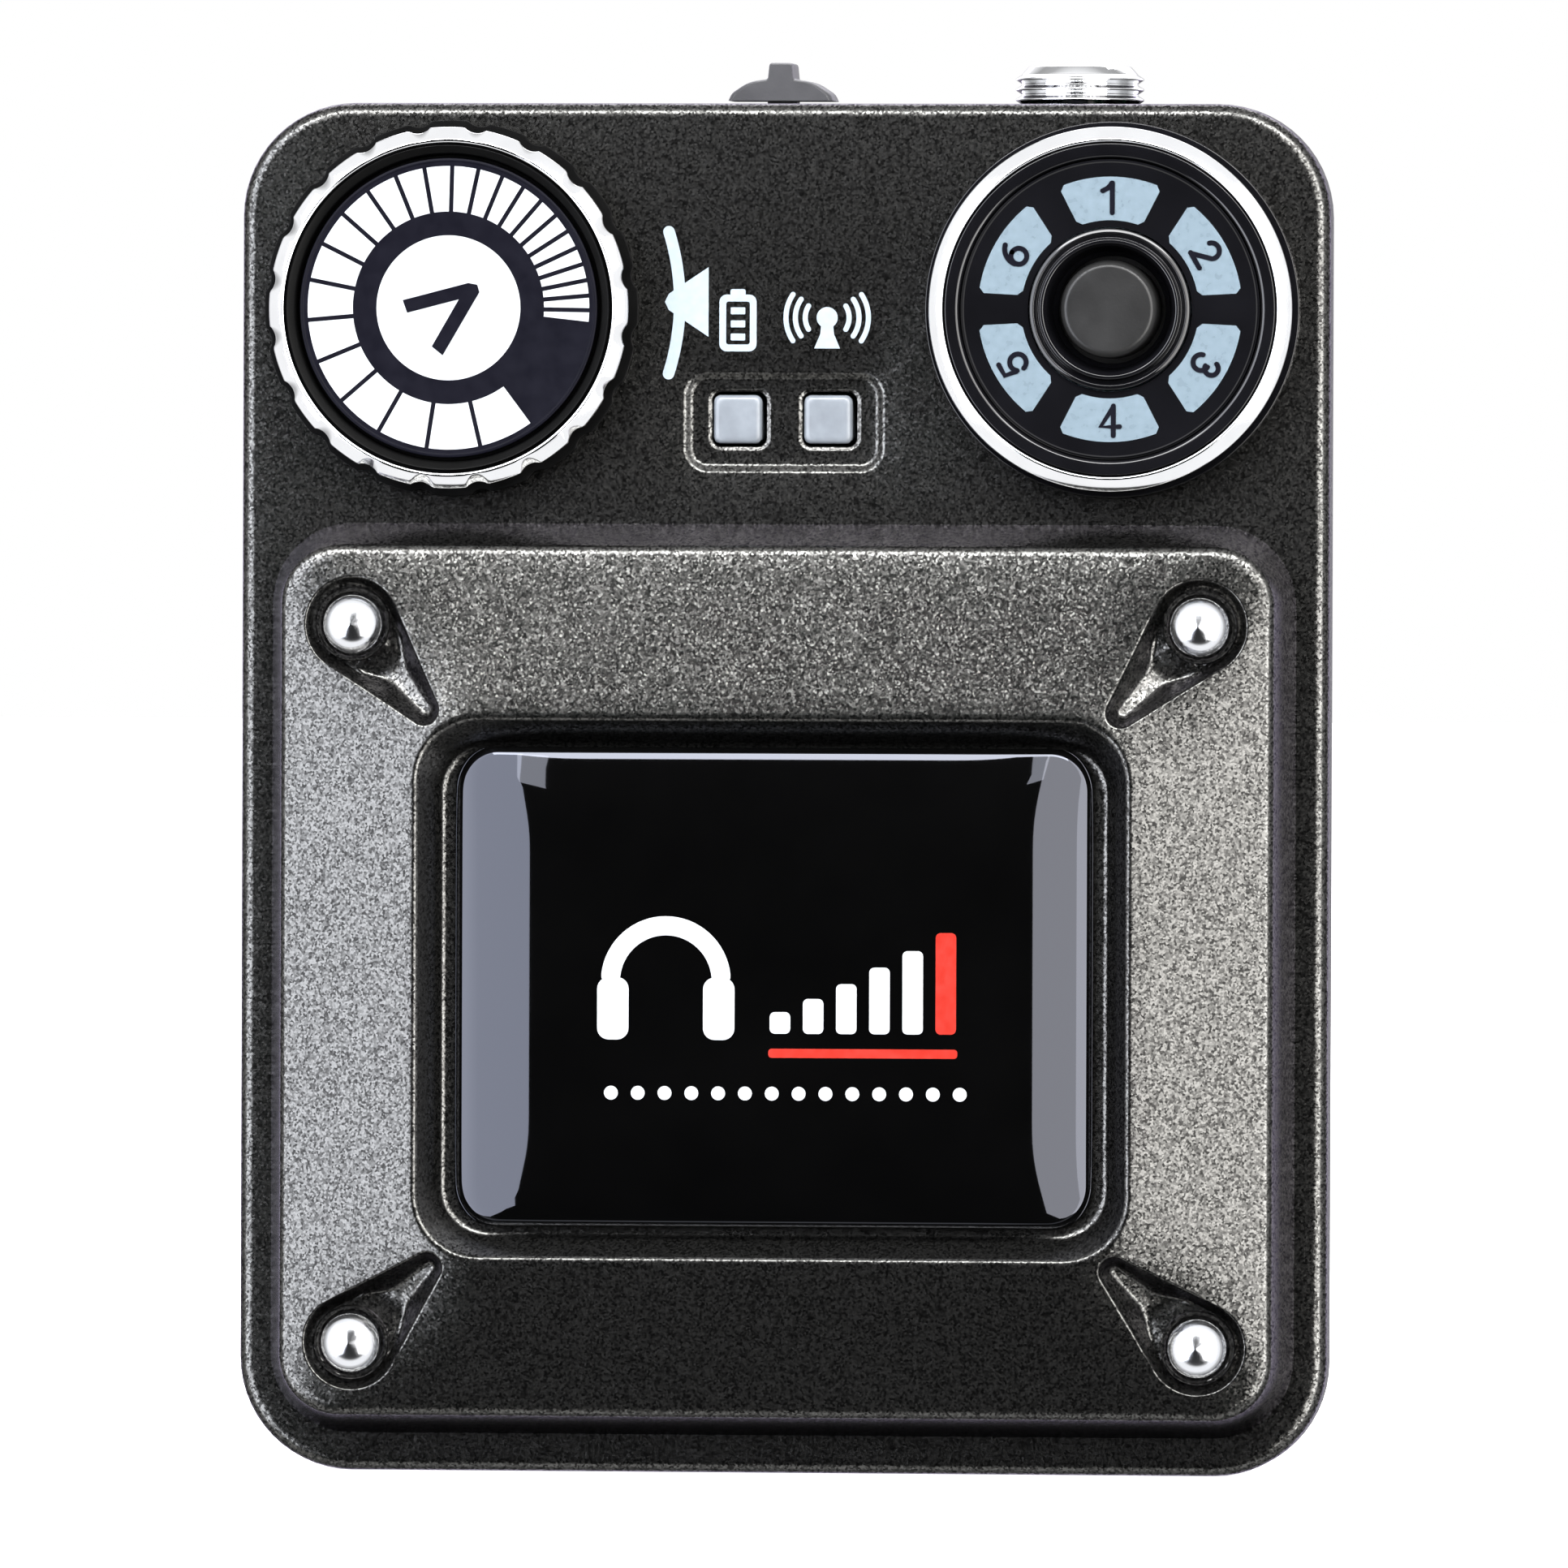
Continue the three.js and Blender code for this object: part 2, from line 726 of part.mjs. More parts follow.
function electronics() {
  const onBoard = BOARD.frontY - GAP;
  const can = cut(
    block([-12, 12], [onBoard - 2, onBoard], [12, 32]),
    block([-11.6, 11.6], [onBoard - 1.6, onBoard + 1], [12.4, 31.6]),
  );
  const aerialShape = new THREE.Shape(
    [
      [-27, onBoard],
      [-27, -2],
      [-12, -2],
      [-12, -1],
      [-22, -1],
      [-22, onBoard],
      [-23, onBoard],
      [-23, -1],
      [-26, -1],
      [-26, onBoard],
    ].map(([x, y]) => new THREE.Vector2(x, y)),
  );
  const aerialSheet = { depth: 0.6, bevelEnabled: false };
  const aerial = new THREE.ExtrudeGeometry(aerialShape, aerialSheet).translate(0, 0, 57);
  const cell = roundedShape({ half: 21, low: 7, high: 51, radius: 2 });
  const leadPath = new THREE.CatmullRomCurve3([
    new THREE.Vector3(12, -7, 51.4),
    new THREE.Vector3(12, -6.5, 53),
    new THREE.Vector3(12, -4.4, 55),
    new THREE.Vector3(12, -1.4, 57.5),
  ]);
  const wire = new THREE.Shape().absarc(0, 0, 0.7, 0, 2 * Math.PI);
  const lead = new THREE.ExtrudeGeometry(wire, { steps: 6, extrudePath: leadPath, curveSegments: 4 });
  return [
    named("shield_can", can, FINISH.steel),
    named("antenna", aerial, FINISH.brass),
    named("battery", plate(cell, -3.7, 7, 4), FINISH.foil),
    named("battery_pad", block([-15, 15], [-3.4, -2.4], [12, 46]), FINISH.foam),
    named("battery_connector", block([9.5, 14.5], [-1, onBoard], [56, 59]), FINISH.whitePrint),
    named("battery_lead", lead, FINISH.wire),
  ];
}

// ---- belt clip ----

const clipScrewHeights = [57, 66];

// A strip of even thickness that follows a line of points in Y and Z, as wide as the clip.
function strip(points) {
  const half = CLIP.thickness / 2;
  const sides = points.map((point, i) => {
    const before = points[Math.max(0, i - 1)];
    const after = points[Math.min(points.length - 1, i + 1)];
    const along = after.clone().sub(before).normalize();
    const across = new THREE.Vector2(-along.y, along.x).multiplyScalar(half);
    return [point.clone().add(across), point.clone().sub(across)];
  });
  const shape = new THREE.Shape([
    ...sides.map(([left]) => left),
    ...sides.map(([, right]) => right).reverse(),
  ]);
  const turn = new THREE.Matrix4().makeBasis(
    new THREE.Vector3(0, 1, 0),
    new THREE.Vector3(0, 0, 1),
    new THREE.Vector3(1, 0, 0),
  );
  return new THREE.ExtrudeGeometry(shape, { depth: CLIP.width, bevelEnabled: false })
    .translate(0, 0, -CLIP.width / 2)
    .applyMatrix4(turn);
}

// Points on the bend at the top of the clip, by angle from straight up, positive away from the case.
function bendPoints(startDegrees, endDegrees) {
  const centreY = CASE.backY + GAP + CLIP.thickness / 2 + CLIP.bendRadius;
  return Array.from({ length: 6 }, (_, i) => {
    const angle = THREE.MathUtils.degToRad(startDegrees + ((endDegrees - startDegrees) * i) / 5);
    return new THREE.Vector2(
      centreY + CLIP.bendRadius * Math.sin(angle),
      CLIP.bendZ + CLIP.bendRadius * Math.cos(angle),
    );
  });
}

function beltClip() {
  const footY = CASE.backY + GAP + CLIP.thickness / 2;
  const foot = strip([new THREE.Vector2(footY, CLIP.footLow), ...bendPoints(-90, 0)]);
  const screwHoles = clipScrewHeights.map((z) => rodY(1.2, 0, z, footY + 2, footY - 2));
  const arm = strip([
    ...bendPoints(17, 84),
    new THREE.Vector2(9.9, 26),
    new THREE.Vector2(9.75, 24),
    new THREE.Vector2(9.95, 22),
    new THREE.Vector2(11.6, CLIP.tipZ),
  ]);
  const screws = clipScrewHeights.map((z, i) => {
    const profile = [
      [0, -1.2],
      [1.5, -1.2],
      [2.2, -0.7],
      [2.2, 0],
      [0.9, 0],
      [0.9, 4.6],
      [0, 5.1],
    ];
    const screw = named("clip_screw_" + (i + 1), turned(profile, 16), FINISH.blackSteel);
    screw.position.set(0, footY + CLIP.thickness / 2 + GAP, z);
    return screw;
  });
  return [
    named("belt_clip_foot", cut(foot, ...screwHoles), FINISH.blackSteel),
    named("belt_clip_arm", arm, FINISH.blackSteel),
    ...screws,
  ];
}

// ---- assembly ----

const receiver = new THREE.Group();
receiver.add(
  named("front_cover", frontCover(), FINISH.paint),
  named("rear_cover", rearCover(), FINISH.paint),
  named("badge", badge(), FINISH.gloss),
  ...studPlaces.map((place, i) => frontStud(place, i + 1)),
  ...bossPlaces.map((place, i) => rearScrew(place, i + 1)),
  ...statusLight("battery_status", -STATUS.x),
  ...statusLight("signal_status", STATUS.x),
  volumeKnob(),
  volumePot(),
  channelDial(),
  powerSwitch(),
  powerSwitchBody(),
  jackCollar(),
  jackBody(),
  ...chargePort(),
  mainBoard(),
  ...electronics(),
  ...beltClip(),
);

export default receiver;
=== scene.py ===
"""The looks of a pocket wireless receiver, built around its CAD frame."""
import json
import math

import bmesh
import bpy
from mathutils import Matrix, Vector
from mathutils.geometry import delaunay_2d_cdt

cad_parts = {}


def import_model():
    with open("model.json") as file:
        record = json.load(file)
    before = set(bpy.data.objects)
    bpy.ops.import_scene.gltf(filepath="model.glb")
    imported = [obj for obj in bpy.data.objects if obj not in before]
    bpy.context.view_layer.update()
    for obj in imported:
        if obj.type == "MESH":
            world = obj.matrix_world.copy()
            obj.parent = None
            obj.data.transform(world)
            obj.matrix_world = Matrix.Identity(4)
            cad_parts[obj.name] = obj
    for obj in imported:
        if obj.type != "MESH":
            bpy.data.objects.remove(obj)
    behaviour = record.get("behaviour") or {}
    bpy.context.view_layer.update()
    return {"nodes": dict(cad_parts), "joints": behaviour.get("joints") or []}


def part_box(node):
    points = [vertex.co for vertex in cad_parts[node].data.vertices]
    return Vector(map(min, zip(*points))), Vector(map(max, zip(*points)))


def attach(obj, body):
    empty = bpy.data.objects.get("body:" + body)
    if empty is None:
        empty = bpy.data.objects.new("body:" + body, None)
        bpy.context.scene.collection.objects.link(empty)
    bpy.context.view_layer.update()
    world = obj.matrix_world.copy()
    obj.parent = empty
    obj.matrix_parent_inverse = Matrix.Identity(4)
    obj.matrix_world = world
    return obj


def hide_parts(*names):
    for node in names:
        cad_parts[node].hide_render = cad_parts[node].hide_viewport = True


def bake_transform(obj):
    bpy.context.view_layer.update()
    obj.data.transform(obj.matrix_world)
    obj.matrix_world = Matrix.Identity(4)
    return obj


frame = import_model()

MM = 0.001
TAU = 2 * math.pi


def span(node):
    """Lowest and highest corner of a CAD node, in millimetres."""
    low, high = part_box(node)
    return Vector(low) / MM, Vector(high) / MM


def centre(node):
    """Middle of a CAD node's box, in millimetres."""
    low, high = span(node)
    return (low + high) / 2


# ---- places taken from the frame, in millimetres ----

KNOB_GAP = 0.4  # the knob floats this far off the face
COVER_HIGH = span("front_cover")[1]
HALF_WIDTH, HEIGHT = COVER_HIGH.x, COVER_HIGH.z
REAR_FRONT_Y, BACK_Y = (corner.y for corner in span("rear_cover"))
PARTING_Y = REAR_FRONT_Y - 0.25  # where the front cover's side wall ends
FACE_Y = span("volume_knob")[1].y + KNOB_GAP
WALL = 1.8  # thickness of both covers
CORNER = 6.85  # radius of the case's corners seen from the front
EDGE = 0.85  # radius of the edges round the front and the back
DRAFT = math.tan(math.radians(5.5))  # how much the rear cover narrows towards the back
WIDE_Y = -6.15  # where it starts to narrow

KNOB = centre("volume_knob")
SELECTOR = centre("channel_bezel")
STUDS = [centre(f"front_stud_{i}") for i in range(1, 5)]


# ---- mesh helpers ----

def raw_mesh(name, verts, faces):
    """A mesh from millimetre points."""
    mesh = bpy.data.meshes.new(name)
    mesh.from_pydata([Vector(v) * MM for v in verts], [], faces)
    return mesh


def weld(mesh, reach=1e-7, slivers=False):
    """Joins points that meet, drops slivers if asked to, and turns the faces outwards."""
    work = bmesh.new()
    work.from_mesh(mesh)
    bmesh.ops.remove_doubles(work, verts=work.verts, dist=reach)
    if slivers:
        bmesh.ops.dissolve_degenerate(work, edges=work.edges, dist=1e-8)
    bmesh.ops.recalc_face_normals(work, faces=work.faces)
    work.to_mesh(mesh)
    work.free()


def add_object(name, data):
    """Puts a new object with this data in the scene."""
    thing = bpy.data.objects.new(name, data)
    bpy.context.scene.collection.objects.link(thing)
    return thing


def baked(thing):
    """A new mesh: an object's shape after its modifiers."""
    graph = bpy.context.evaluated_depsgraph_get()
    return bpy.data.meshes.new_from_object(thing.evaluated_get(graph))


def finish_mesh(name, verts, faces, material, body="case", replaces=(), angle=32):
    """Makes a piece from millimetre points and puts it on its body."""
    mesh = raw_mesh(name, verts, faces)
    mesh.validate()
    weld(mesh, slivers=True)
    piece = add_object(name, mesh)
    dress(piece, material, body, replaces, angle)
    return piece


def shade(piece, material, angle):
    """Gives a piece its material, and a sharp edge where it turns by more than an angle."""
    mesh = piece.data
    mesh.materials.clear()
    mesh.materials.append(material)
    mesh.shade_smooth()
    mesh.set_sharp_from_angle(angle=math.radians(angle))


def dress(piece, material, body, replaces=(), angle=32):
    """Shades a piece, parents it to its body's empty and hides the CAD parts that it replaces."""
    shade(piece, material, angle)
    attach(piece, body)
    if replaces:
        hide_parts(*replaces)


def soften(points, steps=5, plane=(0, 1)):
    """Rounds the corners of a line of points; the last value of each point is its corner size.

    A corner size is measured along both legs, in the plane of two of the point's values."""
    first, second = plane
    out = [list(points[0][:-1])]
    for before, here, after in zip(points, points[1:], points[2:]):
        size = here[-1]
        if size <= 0:
            out.append(list(here[:-1]))
            continue
        ends = []
        for other in (before, after):
            length = math.hypot(other[first] - here[first], other[second] - here[second])
            share = min(0.49, size / length) if length else 0
            ends.append([h + (o - h) * share for h, o in zip(here[:-1], other[:-1])])
        for i in range(steps + 1):
            t = i / steps
            weights = ((1 - t) ** 2, 2 * t * (1 - t), t * t)
            trio = zip(ends[0], here[:-1], ends[1])
            out.append([sum(w * v for w, v in zip(weights, values)) for values in trio])
    out.append(list(points[-1][:-1]))
    return out


def ring_faces(count, rings, closed=False):
    """Quads between rings of the same number of points, numbered ring after ring."""
    faces = []
    for ring in range(rings if closed else rings - 1):
        a, b = ring * count, (ring + 1) % rings * count
        for i in range(count):
            j = (i + 1) % count
            faces.append((a + i, a + j, b + j, b + i))
    return faces


def skin_faces(count, rings):
    """Quads between rings, and one face over the first and one over the last of them."""
    last = (rings - 1) * count
    caps = [tuple(range(count)), tuple(range(last + count - 1, last - 1, -1))]
    return ring_faces(count, rings) + caps


def lathe(profile, middle, steps=128, closed=False, up=False, wave=None):
    """Turns a (radius, height) profile about an axis towards -Y, or towards +Z if up is true.

    wave(angle) is taken off the radius, times each point's third value."""
    verts = []
    for point in profile:
        radius, height = point[0], point[1]
        for i in range(steps):
            angle = TAU * i / steps
            r = max(radius, 1e-4)
            if wave and len(point) > 2:
                r -= wave(angle) * point[2]
            a, b = r * math.sin(angle), r * math.cos(angle)
            place = (a, b, height) if up else (a, -height, b)
            verts.append(Vector(middle) + Vector(place))
    faces = ring_faces(steps, len(profile), closed)
    if not closed:
        last = (len(profile) - 1) * steps
        faces.append(tuple(reversed(range(steps))))
        faces.append(tuple(range(last, last + steps)))
    return verts, faces


def turned(name, profile, middle, material, **options):
    """A finished piece turned from a profile; options go to finish_mesh or to lathe."""
    keep = {k: options.pop(k) for k in ("body", "replaces", "angle") if k in options}
    return finish_mesh(name, *lathe(profile, middle, **options), material, **keep)


def split(a, b, pieces):
    """Points at equal steps from a towards b, without b."""
    dx, dz = b[0] - a[0], b[1] - a[1]
    return [(a[0] + dx * i / pieces, a[1] + dz * i / pieces) for i in range(pieces)]


def rectangle(half, low, high, radius, x=0.0, corner_steps=10, pitch=None, side_steps=None):
    """Points round a rectangle with rounded corners, its sides split to a pitch or into equal steps."""
    points = []
    inner = half - radius
    top, bottom = high - radius, low + radius
    corners = ((inner, top), (-inner, top), (-inner, bottom), (inner, bottom))
    for corner, (cx, cz) in enumerate(corners):
        for step in range(corner_steps + 1):
            angle = (corner + step / corner_steps) * math.pi / 2
            points.append((x + cx + radius * math.cos(angle), cz + radius * math.sin(angle)))
    if pitch is None and side_steps is None:
        return points
    filled = []
    for a, b in zip(points, points[1:] + points[:1]):
        pieces = max(1, round(math.dist(a, b) / pitch)) if pitch else 1
        if side_steps and len(filled) % (corner_steps + side_steps) == corner_steps:
            pieces = side_steps
        filled += split(a, b, pieces)
    return filled


def prism(outline, back_y, front_y):
    """A closed prism from an outline in X and Z."""
    verts = [(x, y, z) for y in (back_y, front_y) for x, z in outline]
    return verts, skin_faces(len(outline), 2)


def loft(sections):
    """A closed skin through (y, half, low, high, radius) sections."""
    rings = [rectangle(*section[1:]) for section in sections]
    verts = [(x, section[0], z) for section, ring in zip(sections, rings) for x, z in ring]
    return verts, skin_faces(len(rings[0]), len(rings))


def carve(piece, shapes, angle=32):
    """Cuts closed shapes, given as verts and faces, out of a piece and shades it again."""
    material = piece.data.materials[0]
    for verts, faces in shapes:
        mesh = raw_mesh("cutter", verts, faces)
        weld(mesh)
        cutter = add_object("cutter", mesh)
        modifier = piece.modifiers.new("cut", "BOOLEAN")
        modifier.operation = "DIFFERENCE"
        modifier.solver = "EXACT"
        modifier.object = cutter
        done = baked(piece)
        piece.modifiers.clear()
        piece.data = done
        bpy.data.objects.remove(cutter)
    shade(piece, material, angle)


# ---- materials ----


def shader_of(material):
    """The main shader node of a material."""
    return material.node_tree.nodes["Principled BSDF"]


def add_node(tree, kind, **values):
    """A new node of a tree, with some of its inputs set."""
    node = tree.nodes.new("ShaderNode" + kind)
    for key, value in values.items():
        node.inputs[key].default_value = value
    return node


def coordinates(tree, scale):
    """Object coordinates in millimetres divided by scale."""
    source = add_node(tree, "TexCoord")
    mapping = add_node(tree, "Mapping", Scale=(1 / (scale * MM),) * 3)
    tree.links.new(source.outputs["Object"], mapping.inputs["Vector"])
    return mapping.outputs["Vector"]


def texture(tree, kind, scale, **inputs):
    """A noise or cell texture with features of about scale millimetres."""
    node = add_node(tree, "TexNoise" if kind == "noise" else "TexVoronoi", Scale=1.0, **inputs)
    tree.links.new(coordinates(tree, scale), node.inputs["Vector"])
    return node


def ramp(tree, source, stops):
    """A colour ramp; stops are (place, grey or colour)."""
    node = add_node(tree, "ValToRGB")
    while len(node.color_ramp.elements) < len(stops):
        node.color_ramp.elements.new(1.0)
    for element, (place, colour) in zip(node.color_ramp.elements, stops):
        element.position = place
        rgb = (colour,) * 3 if isinstance(colour, (int, float)) else colour
        element.color = (*rgb, 1)
    tree.links.new(source, node.inputs["Fac"])
    return node.outputs["Color"]


def bump(tree, height, strength, distance):
    """Surface directions over a relief; distance is its depth in millimetres."""
    node = add_node(tree, "Bump", Strength=strength, Distance=distance * MM)
    tree.links.new(height, node.inputs["Height"])
    return node.outputs["Normal"]


def base_material(name, colour, roughness, metallic=0.0):
    """A plain material of a slot, with its nodes and its shader."""
    material = bpy.data.materials.new(name)
    material.use_nodes = True
    shader = shader_of(material)
    shader.inputs["Base Color"].default_value = (*colour, 1)
    shader.inputs["Roughness"].default_value = roughness
    shader.inputs["Metallic"].default_value = metallic
    return material, material.node_tree, shader


def mottled(
    name, colour, roughness, metallic=0.0, scale=3.0, spread=0.12, grain=0.0, grain_size=0.2
):
    """A plain finish with slow colour and roughness drift and, where grain is given, a fine texture."""
    material, tree, shader = base_material(name, colour, roughness, metallic)
    drift = texture(tree, "noise", scale, Detail=3.0)
    low = [c * (1 - spread) for c in colour]
    high = [min(1, c * (1 + spread)) for c in colour]
    shades = ramp(tree, drift.outputs["Fac"], [(0.3, low), (0.7, high)])
    tree.links.new(shades, shader.inputs["Base Color"])
    smooth, dull = roughness * 0.85, min(1, roughness * 1.15)
    rough = ramp(tree, drift.outputs["Fac"], [(0.3, smooth), (0.7, dull)])
    tree.links.new(rough, shader.inputs["Roughness"])
    if grain:
        fine = texture(tree, "noise", grain_size, Detail=2.0)
        tree.links.new(bump(tree, fine.outputs["Fac"], grain, 0.02), shader.inputs["Normal"])
    return material


def flake_normals(tree, colour):
    """Surface directions that lean a little another way on each flake."""
    lean = add_node(tree, "VectorMath")
    lean.operation = "MULTIPLY_ADD"
    tree.links.new(colour, lean.inputs[0])
    lean.inputs[1].default_value = (FLAKE_LEAN,) * 3
    lean.inputs[2].default_value = (-FLAKE_LEAN / 2,) * 3
    surface = add_node(tree, "NewGeometry")
    total = add_node(tree, "VectorMath")
    tree.links.new(surface.outputs["Normal"], total.inputs[0])
    tree.links.new(lean.outputs["Vector"], total.inputs[1])
    unit = add_node(tree, "VectorMath")
    unit.operation = "NORMALIZE"
    tree.links.new(total.outputs["Vector"], unit.inputs[0])
    return unit.outputs["Vector"]


def flake_paint(name, dark, light, metallic, roughness):
    """Paint with metal flakes: a fine grain of dark and bright specks that tilt a little."""
    material, tree, shader = base_material(name, dark, roughness, metallic)
    flakes = texture(tree, "cells", FLAKE_SIZE)
    specks = ramp(tree, flakes.outputs["Color"], [(0.2, dark), (0.8, light)])
    tree.links.new(specks, shader.inputs["Base Color"])
    tree.links.new(flake_normals(tree, flakes.outputs["Color"]), shader.inputs["Normal"])
    shader.inputs["Specular Tint"].default_value = (*FLAT_ANGLE_TINT, 1)
    return material


def brushed(name, colour, roughness, stretch):
    """Metal with fine lines along one axis; stretch is the line's length in each direction."""
    width = 0.4
    material, tree, shader = base_material(name, colour, roughness, 1.0)
    lines = texture(tree, "noise", width, Detail=4.0)
    mapping = lines.inputs["Vector"].links[0].from_node
    mapping.inputs["Scale"].default_value = [1 / (width * MM * s) for s in stretch]
    rough = ramp(tree, lines.outputs["Fac"], [(0.3, roughness * 0.7), (0.7, roughness * 1.4)])
    tree.links.new(rough, shader.inputs["Roughness"])
    tree.links.new(bump(tree, lines.outputs["Fac"], 0.15, 0.01), shader.inputs["Normal"])
    return material


FLAKE_SIZE = 0.13  # in millimetres
FLAKE_LEAN = 0.1  # how far the flakes lean, as a share of the surface direction
FLAT_ANGLE_TINT = (0.62, 0.6, 0.66)  # below 1, so that the paint glares less at flat angles
PAINT = flake_paint(
    "charcoal_flake_paint", (0.02, 0.0198, 0.019), (0.13, 0.129, 0.124), 0.95, 0.24
)
CHROME = mottled("bright_chrome", (0.9, 0.91, 0.93), 0.07, 1.0, scale=2.0, spread=0.03)
GLOSS = mottled("gloss_black", (0.004, 0.004, 0.005), 0.06, scale=4.0, spread=0.2)
RESIN = mottled("resin_dome", (0.001, 0.001, 0.001), 0.03, scale=6.0, spread=0.2)
shader_of(RESIN).inputs["Specular Tint"].default_value = (0.9, 0.94, 1.1, 1)
SATIN = mottled("satin_black", (0.0018, 0.0018, 0.0018), 0.4, scale=2.0)
STUD_CHROME = mottled("soft_chrome", (0.88, 0.9, 0.94), 0.17, 1.0, scale=2.0, spread=0.03)
BLACK = mottled("matt_black_plastic", (0.02, 0.02, 0.021), 0.42, grain=0.25, grain_size=0.25)
SOFT_BLACK = mottled("soft_black_button", (0.007, 0.007, 0.007), 0.4, grain=0.4)
INK_BLACK = mottled("printed_black", (0.004, 0.004, 0.007), 0.4, scale=1.0)
for dull, level in ((SATIN, 0.06), (INK_BLACK, 0.05), (SOFT_BLACK, 0.4)):
    shader_of(dull).inputs["Specular IOR Level"].default_value = level
GREY = mottled("satin_grey_plastic", (0.039, 0.039, 0.043), 0.45, grain=0.3)
WHITE_INK = mottled("printed_white", (0.4, 0.415, 0.43), 0.4, scale=0.6, spread=0.03)
BLUE_INK = mottled("printed_pale_blue", (0.255, 0.3, 0.34), 0.45, scale=0.5, spread=0.05)
RED_INK = mottled("printed_red", (0.3, 0.014, 0.007), 0.35, scale=0.6, spread=0.05)
LENS = mottled("milky_light_pipe", (0.152, 0.168, 0.188), 0.22, scale=1.4, spread=0.12)
WINDOW = mottled("pale_blue_window", (0.125, 0.165, 0.195), 0.3, scale=0.5, spread=0.08)
LAMP = mottled("lamp_package", (0.8, 0.77, 0.62), 0.4, scale=0.8)
BLACK_STEEL = brushed("black_spring_steel", (0.07, 0.07, 0.074), 0.34, (1, 1, 12))
STEEL = brushed("plated_sheet_steel", (0.55, 0.56, 0.58), 0.3, (8, 1, 1))
BOARD = mottled("green_circuit_board", (0.015, 0.09, 0.04), 0.35, scale=1.2, spread=0.35)
BRASS = brushed("plain_brass", (0.6, 0.42, 0.16), 0.25, (1, 6, 1))
FOIL = brushed("cell_foil_pouch", (0.55, 0.56, 0.57), 0.32, (4, 4, 1))
FOAM = mottled("closed_cell_foam", (0.03, 0.03, 0.032), 0.95, grain=0.9, grain_size=0.5)
WIRE = mottled("red_silicone_wire", (0.35, 0.015, 0.012), 0.5, scale=2.0)
SOCKET = mottled("white_socket", (0.8, 0.8, 0.76), 0.5, scale=1.0, grain=0.2)


# ---- front cover ----

def edge_steps():
    """(how far in, sine of the angle) at steps of a quarter turn round the case's edge."""
    angles = [step / 8 * math.pi / 2 for step in range(9)]
    return [(EDGE * (1 - math.cos(angle)), math.sin(angle)) for angle in angles]


def edge_sections():
    """Sections (half, low, high, radius, rise) of the rounded edge from the side wall to the face."""
    return [
        (HALF_WIDTH - inset, inset, HEIGHT - inset, CORNER - inset, EDGE * (sine - 1))
        for inset, sine in edge_steps()
    ]


def frame_sections():
    """Sections of the raised frame, from its foot to the floor of the badge recess.

    Each is (half, low, high, radius, rise), as in edge_sections."""
    foot = (31.05, 2.3, 57.3, 4.9, 0.0)
    shoulder = (29.95, 3.6, 55.9, 3.55, 4.3)
    rim = (21.5, 13.1, 45.6, 3.8, 6.9)
    floor = (20.1, 14.4, 44.0, 3.0, 4.5)
    before = (31.9, 1.45, 58.15, 5.75, 0.0)
    middle = (10.0, 24.0, 34.0, 1.0, 4.5)
    slope = []
    for share in (0.16, 0.32, 0.5, 0.68, 0.84):
        values = [a + (b - a) * share for a, b in zip(shoulder, rim)]
        values[3] += 3.2 * math.sin(math.pi * share)
        slope.append((*values, 0.0))
    line = [(*before, 0), (*foot, 0), (*shoulder, 0.42), *slope, (*rim, 0.32), (*floor, 0.3), (*middle, 0)]
    return soften(line, 6, (0, 4))[1:]


def distance_to_rectangle(x, z, half, low, high, radius):
    """Signed distance to a rounded rectangle, negative inside."""
    dx = abs(x) - (half - radius)
    dz = abs(z - (low + high) / 2) - ((high - low) / 2 - radius)
    outside = math.hypot(max(dx, 0), max(dz, 0))
    return outside + min(max(dx, dz), 0) - radius


def rise_on(sections, x, z):
    """Height of the front above its face at a point, between the two sections that hold it."""
    if distance_to_rectangle(x, z, *sections[0][:4]) >= 0:
        return sections[0][4]
    for outer, inner in zip(sections, sections[1:]):
        if distance_to_rectangle(x, z, *inner[:4]) < 0:
            continue
        near, far = 0.0, 1.0
        for _ in range(14):
            share = (near + far) / 2
            mid = [a + (b - a) * share for a, b in zip(outer, inner)]
            if distance_to_rectangle(x, z, *mid[:4]) < 0:
                near = share
            else:
                far = share
        return outer[4] + (inner[4] - outer[4]) * (near + far) / 2
    return sections[-1][4]


WELL_RADIUS = 2.9  # of a hollow's round end, about its stud
TAIL_RADIUS = 0.97  # of its narrow end
WELL_RISE = 4.0  # height of its floor round the stud, above the face
TAIL_DEPTH = 1.95  # how deep its narrow part is below the frame
TAIL_SHARE, WIDE_SHARE = 0.68, 0.32  # shares of that depth: at the tip, and added where it is wide
WALL_REACH = 0.62  # how far its wall leans in, next to the stud
LIP = 0.12  # how soft its edge is
DROP_OFFSETS = (-0.08, 0.0, 0.05, 0.1, 0.16, 0.25, 0.4, 0.6, 0.8, 1.05, 1.3, 1.6, 1.9)
COLLAR_STEPS = (  # (radius, height above the floor) of the rim round a stud
    (2.26, 0.0), (2.22, 0.45), (2.16, 0.52), (2.04, 0.52), (1.97, 0.45), (1.94, 0.0)
)


def tail_of(stud):
    """Where a stud's drop-shaped hollow ends, next to the badge's corner."""
    side = 1 if stud.x > 0 else -1
    return Vector((side * 21.05, 0, 46.05)) if stud.z > 30 else Vector((side * 20.75, 0, 12.5))


